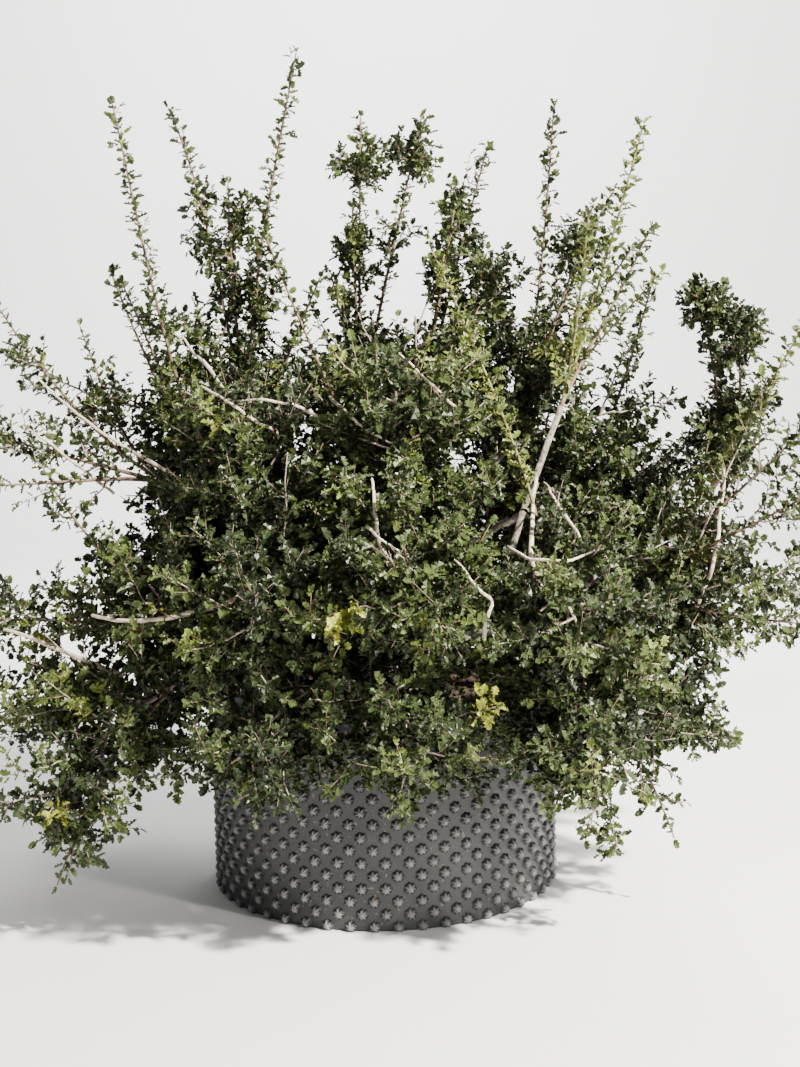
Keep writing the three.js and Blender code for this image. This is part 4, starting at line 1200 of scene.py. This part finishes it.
def leaf_faces():
    """Triangles from the rib's middle to each stretch of the two edges, wound to face upwards."""
    count = len(LEAF_EDGE)
    right = [0, *range(3, 3 + count), 2]
    left = [0, *range(3 + count, 3 + 2 * count), 2]
    right_fan = [(a, b, 1) for a, b in zip(right[1:], right[:-1])]
    left_fan = [(a, b, 1) for a, b in zip(left[:-1], left[1:])]
    return np.array(right_fan + left_fan)


def leaves_on(paths, lengths, first, spacing, first_turn):
    """Roots, directions, bearers and shares of the leaves along twigs, with two at each twig's tip."""
    owner, rank, share = stations(lengths, spacing, first, LAST_TWIG)
    root, forward = on_paths(paths, owner, share)
    lean = np.radians(rng.uniform(*LEAF_LEAN, len(owner)))
    aim = side_aims(forward, rank + owner * GOLDEN_SHARE + first_turn, lean)
    tip_owner = np.repeat(np.arange(len(lengths)), 2)
    tip_share = np.ones(len(tip_owner))
    tip_root, tip_forward = on_paths(paths, tip_owner, tip_share)
    tip_lean = np.radians(rng.uniform(*TIP_LEAN, len(tip_owner)))
    tip_aim = side_aims(tip_forward, rng.uniform(0, 9, len(tip_owner)), tip_lean)
    pairs = (root, tip_root), (aim, tip_aim), (owner, tip_owner), (share, tip_share)
    return tuple(np.concatenate(pair) for pair in pairs)


def leaf_frames(roots, aims):
    """Frames whose first axis is the leaf's direction, and whose third faces up, out and anyhow."""
    up, out, anyhow = FACING
    outwards = unit(roots - CROWN_HEART)
    facing = square_to(aims, up * UP + out * outwards + anyhow * rng.normal(size=roots.shape))
    return np.stack([aims, np.cross(facing, aims), facing], axis=1)


def in_front_of(path, roots):
    """True for the leaves that would hide a bare limb: those nearer the eye than the limb whose
    sight line passes the plane y = 0 close to the limb's."""
    limb, leaf = (
        EYE + (points - EYE) * (EYE[1] / (EYE[1] - points[:, 1]))[:, None] for points in (path, roots)
    )
    square = (leaf[:, None, 0] - limb[:, 0]) ** 2 + (leaf[:, None, 2] - limb[:, 2]) ** 2
    nearest = square.argmin(axis=1)
    return (square.min(axis=1) < BARE_VIEW**2) & (roots[:, 1] < path[nearest, 1] + BARE_VIEW)


# Leaves sit on the side twigs, on the short twigs, and on the leaders of whips and sprays
shoots = np.flatnonzero(~is_clump)
shoot_lengths = np.array([leaders[number]["length"] for number in shoots])
bearers = [
    (side_twigs["paths"], side_twigs["lengths"], 0.22, LEAF_STEP, 0.0),
    (sub_twigs["paths"], sub_twigs["lengths"], 0.1, LEAF_STEP, 0.3),
    (leader_paths[shoots], shoot_lengths, 0.2, SHOOT_LEAF_STEP, 0.6),
]
bearer_mass, bearer_kind = (
    np.concatenate([side_twigs[key], sub_twigs[key], [leaders[number][key] for number in shoots]])
    for key in ("mass", "kind")
)
grown, passed = [], 0
for bearer in bearers:
    root, aim, owner, share = leaves_on(*bearer)
    grown.append((root, aim, owner + passed, share))
    passed += len(bearer[1])
leaf_root, leaf_aim, leaf_bearer, leaf_share = (np.concatenate(part) for part in zip(*grown))
leaf_mass, leaf_kind = bearer_mass[leaf_bearer], bearer_kind[leaf_bearer]

# A leaf's tint, from 0 for the darkest to 1 for the newest, goes by its spray and then by its twig
spray_tint = rng.uniform(size=len(side_fresh))
spray_tint = np.where(spray_tint < NEW_SHARE, NEW_TINT, COMMON_TINT * spray_tint)
in_tower = side_twigs["mass"] == mass_names.index("tuft_tower")
spray_tint = np.where(in_tower, TOWER_TINT * spray_tint, spray_tint)
spray_tint = np.where(side_fresh, rng.uniform(*FRESH_TINTS, len(side_fresh)), spray_tint)
twig_tint = spray_tint[sub_twigs["twig"]] + rng.normal(0, TWIG_TINT_SPREAD, len(sub_twigs["twig"]))
shoot_tint = np.where(fresh_leader[shoots], NEW_TINT, WHIP_TINT)
leaf_tint = np.concatenate([spray_tint, np.clip(twig_tint, 0, 0.97), shoot_tint])[leaf_bearer]

leaf_length = LEAF_LENGTH * rng.lognormal(0, LEAF_SPREAD, len(leaf_root)) * (1.08 - 0.28 * leaf_share)
leaf_length *= of_kind("leaf", leaf_kind)
leaf_out = outness(leaf_root)[np.arange(len(leaf_root)), leaf_mass]
leaf_out[leaf_kind != KIND["clump"]] = 1.0
leaf_length *= np.interp(leaf_out, INNER_TO_OUTER, INNER_SIZE)
# Inner leaves of clumps get darker tints: painted shade in the crown's interior, besides the shade leaves'
# own darker green.
leaf_tint *= np.where(leaf_tint < FRESH_TINT, np.interp(leaf_out, INNER_TO_OUTER, INNER_TINT_AND_SHADE), 1)
kept = in_space(leaf_root + leaf_aim * leaf_length[:, None], leaf_mass, LEAF_EDGE_OF_SPACE)
for path in bare_paths:
    kept &= ~in_front_of(path, leaf_root)
leaf_root, leaf_aim, leaf_length, leaf_tint = (
    part[kept] for part in (leaf_root, leaf_aim, leaf_length, leaf_tint)
)
for x, z, radius in GOLD_SPRAYS:
    depth, beside = beside_sight_line(leaf_root, (x, z))
    in_front = depth < depth[beside < radius].min(initial=1e9) + GOLD_DEPTH
    leaf_tint = np.where((beside < radius) & in_front, GOLD_TINT, leaf_tint)
tint_share = np.argsort(np.argsort(leaf_tint, kind="stable"), kind="stable") / len(leaf_tint)


def leaf_material(name, colour, roughness):
    """Waxy leaf: one base colour, a little lighter and darker from leaf to leaf, with fine veins."""
    paint = Paint(name)
    deep, pale = (rgb(*(strength * part for part in colour)) for strength in LEAF_SHADES)
    return paint.finish(
        Base_Color=paint.mix(paint.mask(paint.noise(70, 2, 0.5), 0.3, 0.7), deep, pale),
        Roughness=roughness + 0.12 * paint.noise(300, 2, 0.5),
        Specular_IOR_Level=0.36,
        Normal=paint.bump(paint.noise(600, 2, 0.5), 0.0003, 0.3),
    )


leaf_points = leaf_shape()
leaf_triangles = leaf_faces()
lowest = 0.0
for name, highest, colour, roughness in TINTS:
    chosen = (tint_share >= lowest) & (tint_share < highest)
    lowest = highest
    roots = leaf_root[chosen] + STALK * leaf_aim[chosen]
    sizes = leaf_length[chosen][:, None, None] * np.ones((1, 3, 1))
    sizes[:, 1, 0] *= rng.uniform(*LEAF_BREADTHS, len(sizes))
    frames = leaf_frames(roots, leaf_aim[chosen]) * sizes
    points, faces = copies(leaf_points, leaf_triangles, frames, roots)
    finish = leaf_material(name, colour, roughness)
    make_piece(name, points, faces, finish, "foliage", mass_names, smooth=False)


# THE STUDIO
# A plain pale floor curves up into a pale back wall. A small strong light shines from the upper
# right with a weaker one below it, soft ones fill from the left and light the crown's rim and the
# wall, and the camera stands at the photograph's height, distance and slant.

FLOOR_FRONT = -6000.0
FLOOR_BACK = 4000.0
FLOOR_BEND = 1500.0
FLOOR_SIDES = (-9000.0, 9000.0)
WALL_TOP = 6000.0
# Each light's place and the point it shines at, in metres, its width, its power and its colour
LIGHTS = [
    ("key_light", (2.45, -2.30, 3.35), (0, 0, 0.5), 0.22, 1250, (1.0, 0.96, 0.89)),
    ("low_light", (3.30, -2.60, 1.25), (0, 0, 0.3), 0.3, 140, (1.0, 0.96, 0.89)),
    ("fill_light", (-2.8, -2.4, 1.6), (0, 0, 0.5), 2.5, 6, (0.97, 0.98, 1.0)),
    ("rim_light", (0.8, 2.6, 2.6), (0, 0, 0.8), 1.6, 140, (1.0, 0.99, 0.97)),
    ("wall_light", (0.0, 2.6, 3.7), (0, 5.5, 1.7), 3.0, 420, (1.0, 1.0, 1.0)),
]
WORLD_LIGHT = 0.26
FOCAL_PIXELS = 1518.0
FRAME_PIXELS = 1067.0
CAMERA_PLACE = (-0.004, -2.2, 0.741)
CAMERA_PITCH = math.radians(6.08)
CAMERA_YAW = math.radians(0.88)
CAMERA_ROLL = math.radians(-1.09)
SENSOR = 24.0


def sweep_floor():
    """A floor that turns up into a wall along a quarter circle, carried sideways on a grid."""
    angle = np.linspace(0, math.pi / 2, 24)
    bend = np.stack([FLOOR_BACK + FLOOR_BEND * np.sin(angle), FLOOR_BEND - FLOOR_BEND * np.cos(angle)], 1)
    section = np.concatenate([[(FLOOR_FRONT, 0)], bend, [(FLOOR_BACK + FLOOR_BEND, WALL_TOP)]])
    points = [np.insert(section, 0, x, axis=1) for x in FLOOR_SIDES]
    faces = grid_faces(2, len(section), closed=False)
    return np.concatenate(points), faces[:, ::-1]


def floor_material():
    paint = Paint("pale_floor")
    colour = paint.mix(paint.noise(3, 2, 0.5), rgb(0.72, 0.72, 0.72), rgb(0.76, 0.76, 0.76))
    return paint.finish(Base_Color=colour, Roughness=0.9)


def aim_matrix(place, forward, right_turn=0.0):
    """A camera or lamp at a place, looking along forward, rolled by an angle."""
    forward = unit(np.array(forward, float))
    level = unit(np.cross(forward, UP))
    above = np.cross(level, forward)
    right = math.cos(right_turn) * level + math.sin(right_turn) * above
    matrix = np.eye(4)
    matrix[:3, :3] = np.stack([right, np.cross(right, forward), -forward], axis=1)
    matrix[:3, 3] = place
    return Matrix(matrix.tolist())


make_object("floor", *sweep_floor(), floor_material(), True)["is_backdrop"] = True
for name, place, target, width, power, colour in LIGHTS:
    light = bpy.data.lights.new(name, "AREA")
    light.shape = "DISK"
    light.size = width
    light.energy = power
    light.color = colour
    lamp = bpy.data.objects.new(name, light)
    lamp.matrix_world = aim_matrix(place, np.array(target) - np.array(place))
    bpy.context.scene.collection.objects.link(lamp)
world = bpy.data.worlds.new("studio")
bpy.context.scene.world = world
world.use_nodes = True
background = world.node_tree.nodes["Background"]
background.inputs["Color"].default_value = rgb(1.0, 1.0, 1.0)
background.inputs["Strength"].default_value = WORLD_LIGHT

camera = bpy.data.objects.new("camera", bpy.data.cameras.new("camera"))
camera.data.sensor_fit = "VERTICAL"
camera.data.sensor_height = SENSOR
camera.data.lens = FOCAL_PIXELS / FRAME_PIXELS * SENSOR
look = (
    math.sin(CAMERA_YAW) * math.cos(CAMERA_PITCH),
    math.cos(CAMERA_YAW) * math.cos(CAMERA_PITCH),
    -math.sin(CAMERA_PITCH),
)
camera.matrix_world = aim_matrix(CAMERA_PLACE, look, CAMERA_ROLL)
bpy.context.scene.collection.objects.link(camera)
bpy.context.scene.camera = camera

sizes = {"cad": [list(map(float, part)) for part in cad_box],
         "visual": [list(map(float, part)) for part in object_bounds()]}
